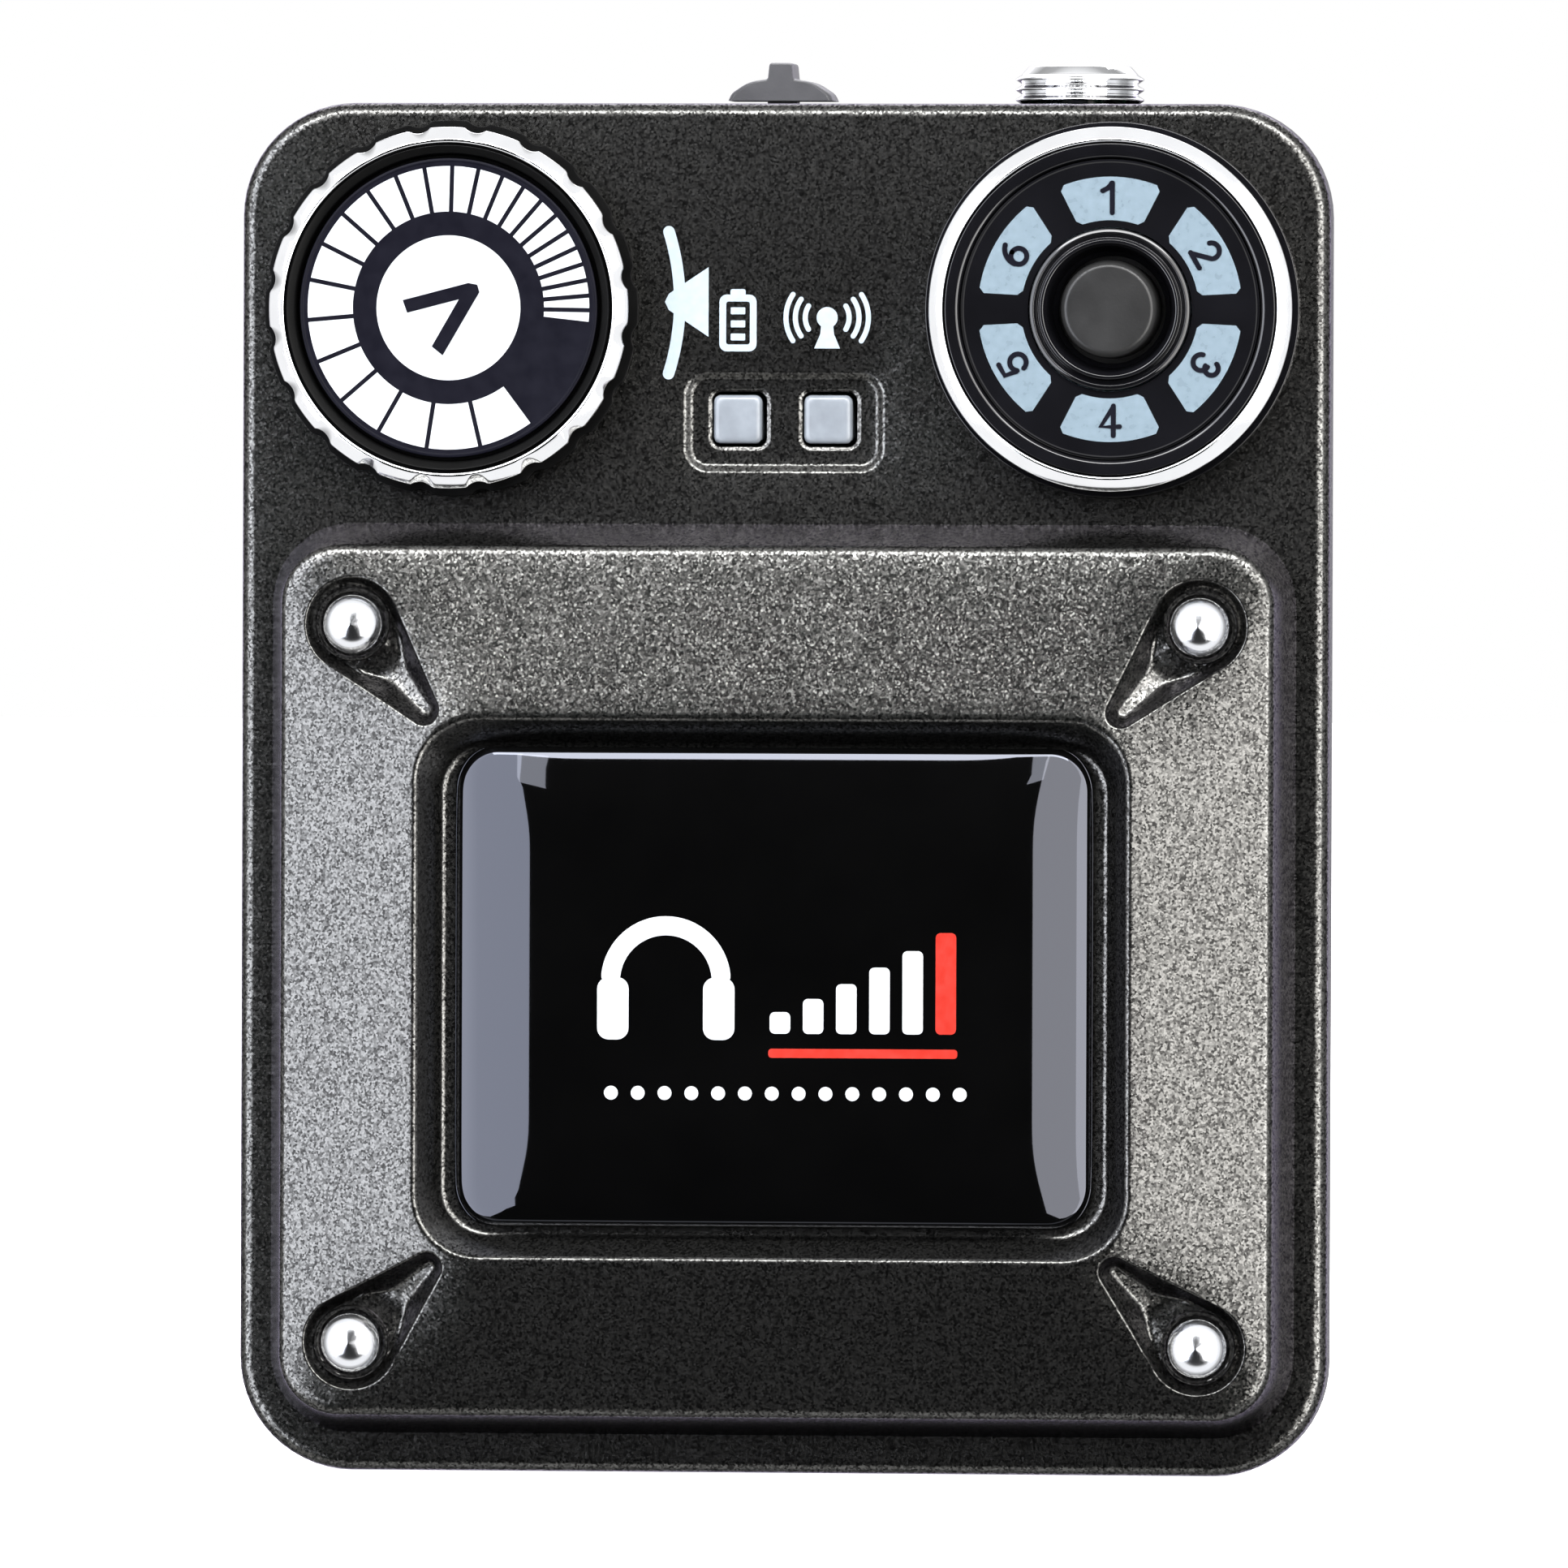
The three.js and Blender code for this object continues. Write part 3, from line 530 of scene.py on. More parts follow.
def drop_outline(stud, offset, steps=14):
    """The outline of a hollow moved inwards by an offset: two arcs and two straight sides."""
    tail = tail_of(stud)
    along = Vector((tail.x - stud.x, tail.z - stud.z))
    big, small = WELL_RADIUS - offset, max(0.05, TAIL_RADIUS - offset)
    heading = math.atan2(along.y, along.x)
    lean = math.acos((big - small) / along.length)
    points = []
    for i in range(2 * steps + 1):
        angle = heading + lean + (TAU - 2 * lean) * i / (2 * steps)
        points.append((stud.x + big * math.cos(angle), stud.z + big * math.sin(angle)))
    for i in range(steps + 1):
        angle = heading - lean + 2 * lean * i / steps
        points.append((tail.x + small * math.cos(angle), tail.z + small * math.sin(angle)))
    filled = []
    for a, b in zip(points, points[1:] + points[:1]):
        filled += split(a, b, max(1, round(math.dist(a, b) / 0.5)))
    return filled


def drop_inside(stud, x, z):
    """(how far inside a hollow's outline a point is, the hollow's half-width there)."""
    tail = tail_of(stud)
    along = Vector((tail.x - stud.x, tail.z - stud.z))
    offset = Vector((x - stud.x, z - stud.z))
    length = along.length
    forward = offset.dot(along) / length
    across = abs(offset.x * along.y - offset.y * along.x) / length
    sine = (WELL_RADIUS - TAIL_RADIUS) / length
    place = min(max(forward - across * sine / math.sqrt(1 - sine * sine), 0), length)
    width = WELL_RADIUS - sine * place
    return width - math.hypot(forward - place, across), width


def ease(value, start, end):
    """0 before start, 1 after end, and a smooth step between."""
    t = min(max((value - start) / (end - start), 0), 1)
    return t * t * (3 - 2 * t)


def drop_rise(stud, surface, x, z):
    """Height of the front in and round one stud's hollow."""
    inside, width = drop_inside(stud, x, z)
    if inside <= 0:
        return surface
    away = math.hypot(x - stud.x, z - stud.z)
    if away <= COLLAR_STEPS[0][0] + 1e-4:
        for (r0, h0), (r1, h1) in zip(COLLAR_STEPS, COLLAR_STEPS[1:]):
            if away >= r1:
                return WELL_RISE + h0 + (h1 - h0) * (r0 - away) / (r0 - r1)
        return WELL_RISE
    wall = WALL_REACH + (0.8 * width - WALL_REACH) * ease(away, 2.5, 4.5)
    share = min(1.0, rounded_lip(inside) / rounded_lip(wall))
    shape = math.sin(share * math.pi / 2)
    deep = surface - TAIL_DEPTH * (TAIL_SHARE + WIDE_SHARE * ease(width, TAIL_RADIUS, 2.2))
    floor_rise = WELL_RISE + (deep - WELL_RISE) * ease(away, 2.3, 4.5)
    return surface + (floor_rise - surface) * shape


def rounded_lip(inside):
    """A distance from the outline that starts slowly, so that a hollow's edge is rounded."""
    return inside * inside / (inside + LIP)


PANEL = (6.1, 60.38, 66.52, 1.5)  # half width, low, high and corner radius
PANEL_DEPTH = 0.36
LENS_X, LENS_Z = 2.74, 63.63
LENS_SHIFT = -0.12  # both lights stand this far off the panel's middle
LENS_HALF = 1.465
POCKET_HALF = LENS_HALF + 0.4
POCKET_RADIUS = 0.75


def panel_depth(x, z):
    """Depth of the status panel's recess and of the lips round its two openings."""
    depth = PANEL_DEPTH * ease(-distance_to_rectangle(x, z, *PANEL), -0.05, 0.6)
    side = math.copysign(LENS_X, x)
    pocket = (POCKET_HALF, LENS_Z - POCKET_HALF, LENS_Z + POCKET_HALF, POCKET_RADIUS)
    return depth + 0.1 * ease(-distance_to_rectangle(x - side, z, *pocket), -0.05, 0.2)


def circle(cx, cz, radius, steps=48):
    """Points round a circle in X and Z."""
    angles = [TAU * i / steps for i in range(steps)]
    return [(cx + radius * math.cos(a), cz + radius * math.sin(a)) for a in angles]


SEAM_DEPTH = 0.35  # how deep the groove between the covers is
SEAM_TONGUE = 0.2  # how far the front cover reaches into it


def front_loops(sections):
    """A loop of points along every edge of the front's form."""
    loops = [rectangle(*s[:4], corner_steps=14, pitch=1.6) for s in sections]
    for stud in STUDS:
        loops += [drop_outline(stud, offset) for offset in DROP_OFFSETS]
        loops += [circle(stud.x, stud.z, radius) for radius, _ in COLLAR_STEPS]
    for inset in (-0.05, 0.03, 0.11, 0.19, 0.27, 0.36, 0.44, 0.52, 0.6):
        half, low, high, radius = PANEL
        loops.append(rectangle(half - inset, low + inset, high - inset, radius - inset, pitch=1.0))
    for inset in (-0.1, -0.04, 0.02, 0.08, 0.14, 0.2):
        reach = POCKET_HALF - inset
        for x in (-LENS_X, LENS_X):
            loops.append(rectangle(reach, LENS_Z - reach, LENS_Z + reach, POCKET_RADIUS - inset, x, 6))
    return loops


def front_rise(sections, x, z):
    """Height of the front above its face, with the hollows and the status panel."""
    rise = rise_on(sections, x, z)
    for stud in STUDS:
        rise = drop_rise(stud, rise, x, z)
    return rise - panel_depth(x, z)


def front_surface():
    """The whole front as one triangulated skin, with its side wall and a tongue for the seam."""
    sections = edge_sections() + frame_sections()
    points, edges = [], []
    for loop in front_loops(sections):
        start = len(points)
        points += [Vector(p) for p in loop]
        edges += [(start + i, start + (i + 1) % len(loop)) for i in range(len(loop))]
    flat, _, triangles, *_ = delaunay_2d_cdt(points, edges, [], 1, 1e-5)
    verts = [(v.x, FACE_Y - front_rise(sections, v.x, v.y), v.y) for v in flat]
    faces = [tuple(t) for t in triangles]
    ring = boundary_loop(faces)
    edge = [(verts[i][0], verts[i][2]) for i in ring]
    tongue_y = PARTING_Y + SEAM_TONGUE
    for inset, y in ((0.0, PARTING_Y), (SEAM_DEPTH, PARTING_Y), (SEAM_DEPTH, tongue_y)):
        base, count = len(verts), len(edge)
        verts += [(x, y, z) for x, z in (inset_point(x, z, inset) for x, z in edge)]
        faces += [(ring[i], ring[(i + 1) % count], base + (i + 1) % count, base + i) for i in range(count)]
        ring = range(base, base + count)
    faces.append(tuple(ring))
    return verts, faces


def inset_point(x, z, amount):
    """A point of the case's outline moved inwards."""
    reach = HALF_WIDTH - CORNER
    away = Vector((x - max(-reach, min(reach, x)), z - max(CORNER, min(HEIGHT - CORNER, z))))
    inwards = away.normalized() * amount
    return x - inwards.x, z - inwards.y


def boundary_loop(faces):
    """The vertices on the open edge of a set of faces, in order."""
    seen = dict.fromkeys(side for face in faces for side in zip(face, face[1:] + face[:1]))
    after = {a: b for a, b in seen if (b, a) not in seen}
    start = next(iter(after))
    loop = [start]
    while after[loop[-1]] != start:
        loop.append(after[loop[-1]])
    return loop


def rod(radius, x, z, back_y, front_y, steps=64):
    """A closed round bar along Y."""
    return lathe([(radius, -back_y), (radius, -front_y)], (x, 0, z), steps)


def front_cover():
    """The front as a shell with openings for the dials and the status lights."""
    cover = finish_mesh(
        "front_cover_shell", *front_surface(), PAINT, replaces=("front_cover",), angle=40
    )
    inside = FACE_Y + WALL
    through = (inside + 1, FACE_Y - 1)
    hollow = [
        (PARTING_Y + 1, 31.2, WALL, 80.9, 5.05), (inside, 31.2, WALL, 80.9, 5.05),
        (inside, 28.4, 5.2, 54.4, 2.0), (FACE_Y - 2.7, 27.4, 5.2, 54.4, 2.0),
    ]
    cuts = [
        loft(hollow), rod(3.6, KNOB.x, KNOB.z, *through), rod(8.25, SELECTOR.x, SELECTOR.z, *through)
    ]
    reach = LENS_HALF + 0.2
    for x in (-LENS_X, LENS_X):
        hole = rectangle(reach, LENS_Z - reach, LENS_Z + reach, 0.6, x, 6)
        cuts.append(prism(hole, *through))
    carve(cover, cuts, 40)


# ---- rear cover ----

def rear_section(y, inset=0.0, at=None):
    """A section of the rear cover for loft(); its width is that at y, or at another depth."""
    half = HALF_WIDTH - DRAFT * max(0.0, (y if at is None else at) - WIDE_Y)
    return (y, half - inset, inset, HEIGHT - inset, CORNER - inset)


def block(axis, ends, low, high):
    """A closed box along axis 0 or 2; low and high are two corners in the plane of the others."""
    (a0, b0), (a1, b1) = low, high
    ring = ((a0, b0), (a1, b0), (a1, b1), (a0, b1))
    verts = [(end, a, b) if axis == 0 else (a, b, end) for end in ends for a, b in ring]
    return verts, skin_faces(4, 2)


def rear_cover():
    """The rear shell with screw wells, the jack's throat, the charging port and the switch's slot."""
    flat_y = BACK_Y - EDGE
    sections = [rear_section(REAR_FRONT_Y)]
    sections += [rear_section(flat_y + EDGE * sine, inset, flat_y) for inset, sine in edge_steps()]
    cover = finish_mesh("rear_cover_shell", *loft(sections), PAINT, replaces=("rear_cover",), angle=40)
    room = [rear_section(REAR_FRONT_Y - 1, WALL, REAR_FRONT_Y), rear_section(BACK_Y - WALL, WALL)]
    cuts = [loft(room)]
    for i in range(1, 5):
        place = centre(f"case_screw_{i}")
        well = [(2.75, -9.5), (2.75, -8.5), (2.4, -8.2), (2.3, -7.1), (1.2, -7.1), (1.2, -6.0)]
        cuts.append(lathe(well, (place.x, 0, place.z), 48))
    jack = centre("jack_collar")
    throat = [(4.2, -3.0), (4.2, -0.35), (4.6, 0.05), (4.6, 1.0)]
    cuts.append(lathe(throat, (jack.x, jack.y, HEIGHT), 64, up=True))
    port_low, port_high = span("charge_port_shell")
    gap = 0.3
    low, high = (port_low.y - gap, port_low.z - gap), (port_high.y + gap, port_high.z + gap)
    cuts.append(block(0, (HALF_WIDTH - 4, HALF_WIDTH + 1), low, high))
    cuts.append(block(2, (HEIGHT - 4, HEIGHT + 1), (-2.1, -0.85), (2.1, 1.35)))
    carve(cover, cuts, 40)


# ---- flat prints ----

def print_piece(name, outlines, material, back_y, body="case", thickness=0.03):
    """Flat printed shapes in X and Z; an outline inside another one is a hole in it."""
    curve = bpy.data.curves.new(name, "CURVE")
    curve.dimensions = "2D"
    curve.fill_mode = "BOTH"
    curve.extrude = thickness * MM / 2
    for outline in outlines:
        spline = curve.splines.new("POLY")
        spline.points.add(len(outline) - 1)
        for point, (x, z) in zip(spline.points, outline):
            point.co = (x * MM, z * MM, 0, 1)
        spline.use_cyclic_u = True
    holder = add_object(name, curve)
    bpy.context.view_layer.update()
    mesh = baked(holder)
    bpy.data.objects.remove(holder)
    mesh.transform(Matrix.Rotation(math.pi / 2, 4, "X"))
    mesh.transform(Matrix.Translation((0, (back_y - thickness / 2) * MM, 0)))
    weld(mesh, 1e-8)
    dress(add_object(name, mesh), material, body)


def dial_point(cx, cz, radius, degrees):
    """A point at an angle clockwise from straight up, as on a dial."""
    angle = math.radians(degrees)
    return cx + radius * math.sin(angle), cz + radius * math.cos(angle)


def arc(cx, cz, radius, start, end, steps=24):
    """Points on an arc between two angles, measured as in dial_point."""
    return [dial_point(cx, cz, radius, start + (end - start) * i / steps) for i in range(steps + 1)]


def side_step(line, i, reach):
    """The step from point i of a line to its left side, at right angles to the line."""
    (ax, az), (bx, bz) = line[max(0, i - 1)], line[min(len(line) - 1, i + 1)]
    length = math.hypot(bx - ax, bz - az)
    return -(bz - az) / length * reach, (bx - ax) / length * reach


def stroke(line, width):
    """The outline of a line of even width with round ends."""
    half = width / 2
    left, right = [], []
    for i, (x, z) in enumerate(line):
        nx, nz = side_step(line, i, half)
        left.append((x + nx, z + nz))
        right.append((x - nx, z - nz))

    def cap(tip, start):
        angle = math.atan2(start[1] - tip[1], start[0] - tip[0])
        turns = [angle - math.pi * i / 8 for i in range(1, 8)]
        return [(tip[0] + half * math.cos(t), tip[1] + half * math.sin(t)) for t in turns]

    return left + cap(line[-1], left[-1]) + right[::-1] + cap(line[0], right[0])


def face_prints():
    """The pointer beside the volume knob, and the battery and aerial signs."""
    y = FACE_Y - 0.005
    tip_z = KNOB.z + 0.42
    pointer = stroke(arc(KNOB.x - 0.35, KNOB.z + 0.37, 14.1, 72.3, 107.7), 0.7)
    upper = [(-7.0, 0.5), (-4.6, 2.1)]
    lower = [(x, -dz) for x, dz in reversed(upper)]
    triangle = [(x, tip_z + dz) for x, dz in [(-7.25, 0.0), *upper, *lower]]
    print_piece("volume_pointer_arc", [pointer], BLUE_INK, y)
    print_piece("volume_pointer_arrow", [triangle], BLUE_INK, y - 0.004)
    bump_print = circle(-6.72, tip_z, 0.36, 24)
    print_piece("volume_pointer_bump", [bump_print], BLUE_INK, y - 0.008)

    x, low, high, pitch = -2.81, 67.72, 71.15, 0.79
    shell = rectangle(1.13, low, high, 0.45, x, 6)
    opening = rectangle(0.72, low + 0.42, high - 0.42, 0.15, x, 4)
    bars = [
        rectangle(0.44, low + 0.66 + i * pitch, low + 1.08 + i * pitch, 0.05, x, 2) for i in range(3)
    ]
    nub = rectangle(0.46, high - 0.1, high + 0.33, 0.12, x, 4)
    print_piece("battery_sign", [shell, opening, *bars], BLUE_INK, y)
    print_piece("battery_sign_nub", [nub], BLUE_INK, y - 0.004)

    x, z = 2.6, 69.77
    steps = ((0.32, 0), (0.42, 1.0), (0.78, 1.86))
    mast = [(x - half, z - drop) for half, drop in steps]
    mast += [(x + half, z - drop) for half, drop in reversed(steps)]
    print_piece("aerial_sign_mast", [mast], BLUE_INK, y)
    print_piece("aerial_sign_head", [circle(x, z, 0.64, 32)], BLUE_INK, y - 0.004)
    waves = []
    for radius, reach in ((1.33, 32), (1.93, 35), (2.5, 34)):
        for side in (90, 270):
            waves.append(stroke(arc(x, z, radius, side - reach, side + reach), 0.31))
    print_piece("aerial_sign_waves", waves, BLUE_INK, y)


# ---- volume knob ----

NOTCHES = 20
NOTCH_START = math.radians(8.5)
NOTCH_HALF = math.radians(3.4)
NOTCH_DEPTH = 0.26


def notch(angle):
    """How far a grip notch cuts in at an angle from straight up."""
    pitch = TAU / NOTCHES
    offset = (angle - NOTCH_START + pitch / 2) % pitch - pitch / 2
    if abs(offset) > NOTCH_HALF:
        return 0.0
    return NOTCH_DEPTH * math.cos(offset / NOTCH_HALF * math.pi / 2) ** 0.7


def volume_knob():
    """The knob with its notched grip and chrome ring, and the printed plate on top."""
    middle = (KNOB.x, FACE_Y, KNOB.z)
    body = soften(
        [
            (0, 1.1, 0, 0), (3.3, 1.1, 0, 0), (3.3, 0.4, 0, 0), (11.3, 0.4, 1, 0.1),
            (11.35, 1.2, 1, 0.06), (10.7, 1.2, 1, 0.05), (10.66, 2.15, 1, 0.05), (9.8, 2.15, 0, 0),
            (9.8, 3.15, 0, 0.12), (9.3, 2.75, 0, 0.15), (9.2, 1.8, 0, 0), (0, 1.8, 0, 0),
        ],
        4,
    )
    turned(
        "volume_knob_body", body, middle, SATIN, steps=480, wave=notch, body="volume",
        replaces=("volume_knob",),
    )
    ring = soften(
        [
            (10.3, 2.2, 0, 0), (10.8, 2.2, 1, 0.1), (10.93, 2.6, 1, 0.1), (10.12, 3.12, 0, 0.1),
            (9.95, 3.02, 0, 0.06), (9.95, 2.2, 0, 0.05), (10.3, 2.2, 0, 0),
        ],
        4,
    )
    keep_off_paint(turned(
        "volume_knob_ring", ring[:-1], middle, CHROME, steps=480, closed=True, wave=notch,
        body="volume", replaces=("volume_trim_ring",), angle=50,
    ))
    rim = [(9.0, 2.1, 0), (9.05, 2.62, 0.12), (8.86, 2.66, 0.05), (8.8, 2.6, 0.03)]
    plate = soften([(0, 2.1, 0), *rim, (0, 2.6, 0)], 3)
    turned("volume_dial_plate", plate, middle, INK_BLACK, body="volume", replaces=("volume_scale_plate",))
    volume_prints(FACE_Y - 2.605)


def volume_prints(y):
    """The scale of the knob, whose blocks shrink at an even rate, and the pointer in its middle."""
    start, width, shrink = 143.3, 23.42, 0.942
    gap = math.degrees(0.14 / 7.2)  # half of the line between two blocks, as an angle
    blocks = []
    for _ in range(25):
        end = start + width
        outer = arc(KNOB.x, KNOB.z, 8.55, start + gap * 0.8, end - gap * 0.8, 8)
        inner = arc(KNOB.x, KNOB.z, 5.81, start + gap * 1.2, end - gap * 1.2, 8)
        blocks.append(outer + inner[::-1])
        start, width = end, width * shrink
    print_piece("volume_scale_marks", blocks, WHITE_INK, y, "volume")
    print_piece("volume_centre_disc", [circle(KNOB.x, KNOB.z, 4.37, 96)], WHITE_INK, y, "volume")
    chevron = [(-2.77, 0.46), (1.2, 1.5), (1.75, 1.4), (1.88, 0.95)]
    chevron += [(-0.34, -2.86), (-1.0, -2.33), (0.64, 0.52), (-2.5, -0.3)]
    mark = [(KNOB.x + dx, KNOB.z + dz) for dx, dz in chevron]
    print_piece("volume_chevron", [mark], INK_BLACK, y - 0.035, "volume")


# ---- channel selector ----

def window_outline(angle, inner=5.32, outer=8.02, reach=23.0, rounding=0.3):
    """One window of the selector with rounded corners, centred on an angle from straight up."""
    inner_reach = reach - 1.5
    corner_in = math.degrees(rounding / inner)
    corner_out = math.degrees(rounding / outer)
    edge = arc(0, 0, outer, angle - reach + corner_out, angle + reach - corner_out, 14)
    edge.append(dial_point(0, 0, outer - rounding, angle + reach))
    edge.append(dial_point(0, 0, inner + rounding, angle + inner_reach))
    edge += arc(0, 0, inner, angle + inner_reach - corner_in, angle - inner_reach + corner_in, 12)
    edge.append(dial_point(0, 0, inner + rounding, angle - inner_reach))
    edge.append(dial_point(0, 0, outer - rounding, angle - reach))
    return [(SELECTOR.x + x, SELECTOR.z + z) for x, z in edge]


DIGIT_HEIGHT = 1.78
DIGIT_STROKE = 0.3
DIGIT_RADIUS = 6.7  # from the selector's axis to the middle of a digit
DIGIT_LINES = {  # strokes of each number, for a height of 1
    1: [[(-0.26, 0.24), (-0.1, 0.32), (0.0, 0.42), (0.05, 0.5)], [(0.07, 0.5), (0.07, -0.5)]],
    2: [arc(0, 0.2, 0.27, -75, 115) + [(-0.27, -0.44)], [(-0.3, -0.44), (0.3, -0.44)]],
    3: [arc(0, 0.22, 0.23, -70, 175), arc(0, -0.19, 0.27, 5, 255)],
    4: [[(0.13, 0.47), (-0.3, -0.2), (0.34, -0.2)], [(0.13, 0.5), (0.13, -0.5)]],
    5: [[(0.25, 0.44), (-0.17, 0.44), (-0.24, 0.03)], arc(0, -0.17, 0.28, -55, 255)],
    6: [arc(0.24, -0.12, 0.54, 262, 345), arc(0, -0.19, 0.27, 0, 360)],
}


def digit(number, angle):
    """A number on a window; the 4 stands upright. Each stroke is a hair higher than the last."""
    turn = 0.0 if number == 4 else math.radians(angle)
    middle_x, middle_z = dial_point(SELECTOR.x, SELECTOR.z, DIGIT_RADIUS, angle)
    verts, faces = [], []
    for layer, line in enumerate(DIGIT_LINES[number]):
        placed = []
        for x, z in line:
            x, z = x * DIGIT_HEIGHT, z * DIGIT_HEIGHT
            across = x * math.cos(turn) + z * math.sin(turn)
            along = z * math.cos(turn) - x * math.sin(turn)
            placed.append((middle_x + across, middle_z + along))
        front_y = FACE_Y - 2.62 - 0.004 * layer
        more_verts, more_faces = prism(stroke(placed, DIGIT_STROKE), FACE_Y - 2.585, front_y)
        faces += [tuple(len(verts) + i for i in face) for face in more_faces]
        verts += more_verts
    finish_mesh(f"channel_number_{number}", verts, faces, INK_BLACK)


def selector_windows(middle):
    """The plate with its six openings, and the lit window and number in each."""
    disc = [(4.95, 1.8), (8.98, 1.8), (9.02, 2.55), (8.9, 2.66), (8.82, 2.6), (4.95, 2.6)]
    plate = turned(
        "selector_window_plate", disc, middle, GLOSS, steps=192, closed=True,
        replaces=("channel_window_plate",),
    )
    carve(plate, [prism(window_outline(60 * i), FACE_Y, FACE_Y - 4) for i in range(6)])
    guide = [(4.9, -2.7), (7.95, -2.7), (7.95, 1.5), (4.9, 1.5)]
    turned("selector_light_guide", guide, middle, WINDOW, closed=True, replaces=("channel_light_guide",))
    for i in range(6):
        outline = window_outline(60 * i, 5.36, 7.98, 22.8)
        window = prism(outline, FACE_Y - 1.4, FACE_Y - 2.58)
        finish_mesh(f"selector_window_{i + 1}", *window, WINDOW)
        digit(i + 1, 60 * i)


def channel_selector():
    """The selector's bezel, chrome ring, windows, hub and button."""
    middle = (SELECTOR.x, FACE_Y, SELECTOR.z)
    bezel = soften(
        [
            (10.2, 0.3, 0), (11.35, 0.3, 0.05), (11.3, 1.25, 0.06), (10.8, 1.25, 0.05),
            (10.75, 2.05, 0.05), (9.98, 2.05, 0), (9.98, 2.85, 0.1), (9.2, 2.75, 0.15),
            (9.08, 2.5, 0.1), (9.1, 0.3, 0), (10.2, 0.3, 0),
        ],
        4,
    )
    turned("selector_bezel", bezel[:-1], middle, GLOSS, steps=192, closed=True, replaces=("channel_bezel",))
    ring = soften(
        [
            (10.5, 2.1, 0), (10.85, 2.1, 0.1), (11.0, 2.5, 0.1), (10.2, 3.0, 0.1), (10.08, 2.92, 0.06),
            (10.08, 2.1, 0.05), (10.5, 2.1, 0),
        ],
        5,
    )
    keep_off_paint(turned(
        "selector_trim_ring", ring[:-1], middle, CHROME, steps=192, closed=True,
        replaces=("channel_trim_ring",), angle=50,
    ))
    selector_windows(middle)
    hub = soften(
        [
            (4.2, 0.5, 0), (4.85, 0.5, 0), (4.85, 2.85, 0.07), (4.6, 2.95, 0.07), (4.45, 2.72, 0.05),
            (4.3, 2.72, 0.05), (4.2, 3.15, 0.07), (4.0, 3.15, 0.08), (3.8, 2.8, 0.05), (3.5, 1.5, 0.1),
            (3.25, 1.3, 0), (3.25, 0.5, 0), (4.2, 0.5, 0),
        ],
        4,
    )
    turned(
        "selector_hub_ring", hub[:-1], middle, GLOSS, closed=True, replaces=("channel_hub_ring",),
        angle=60,
    )
    button = soften(
        [
            (0, -0.8, 0), (3.4, -0.8, 0.1), (3.4, 0.2, 0.1), (2.95, 0.2, 0), (2.93, 3.25, 0.2),
            (2.62, 3.58, 0.15), (1.2, 3.6, 0.4), (0, 3.61, 0),
        ],
        6,
    )
    turned(
        "selector_button_cap", button, middle, SOFT_BLACK, body="selector_button",
        replaces=("channel_button",),
    )


def keep_off_paint(piece):
    """Leaves a bright piece out of reflections, so that it throws no patches on the paint."""
    piece.visible_glossy = False


# ---- badge, studs and status lights ----

def dome_drops(steep, reach, steps=90):
    """(distance inside the edge, drop there), from a flat middle to an edge of steep degrees."""
    table = [(reach, 0.0)]
    for i in range(steps - 1, -1, -1):
        distance = reach * (i / steps) ** 1.6
        previous, drop = table[-1]
        lean = math.radians(steep * (1 - (distance + previous) / 2 / reach) ** 1.7)
        table.append((distance, drop + math.tan(lean) * (previous - distance)))
    return table[::-1]


def look_up(table, value):
    """Linear reading of a table of (place, value) pairs in rising order."""
    for (a, low), (b, high) in zip(table, table[1:]):
        if value <= b:
            return low + (high - low) * (max(value, a) - a) / (b - a)
    return table[-1][1]


def badge():
    """A thick clear dome over black, steep at its edge and flatter towards its middle.

    Gives back the Y of its highest point."""
    low, high = span("badge")
    half, radius, edge, blend = high.x, 2.4, 0.4, 1.5
    middle_z, tall = (low.z + high.z) / 2, (high.z - low.z) / 2
    across_drops, along_drops = dome_drops(28, 9.6), dome_drops(23, 7.5)
    insets = [tall * 0.92 * (i / 70) ** 1.7 for i in range(71)]
    sizes = {"corner_steps": 20, "side_steps": 44}
    verts = [(x, high.y, z) for x, z in rectangle(half, low.z, high.z, radius, **sizes)]
    for inset in insets:
        corner = max(0.4, radius - inset * 0.2)
        round_off = edge * (1 - math.sqrt(1 - (1 - min(1, inset / edge)) ** 2))
        for x, z in rectangle(half - inset, low.z + inset, high.z - inset, corner, **sizes):
            across = look_up(across_drops, half - abs(x))
            along = look_up(along_drops, tall - abs(z - middle_z))
            drop = (across**blend + along**blend) ** (1 / blend) + round_off
            verts.append((x, min(low.y + drop, high.y - 0.02), z))
    rings = len(insets) + 1
    faces = skin_faces(len(verts) // rings, rings)
    finish_mesh("badge_dome", verts, faces, RESIN, replaces=("badge",), angle=60)
    return low.y


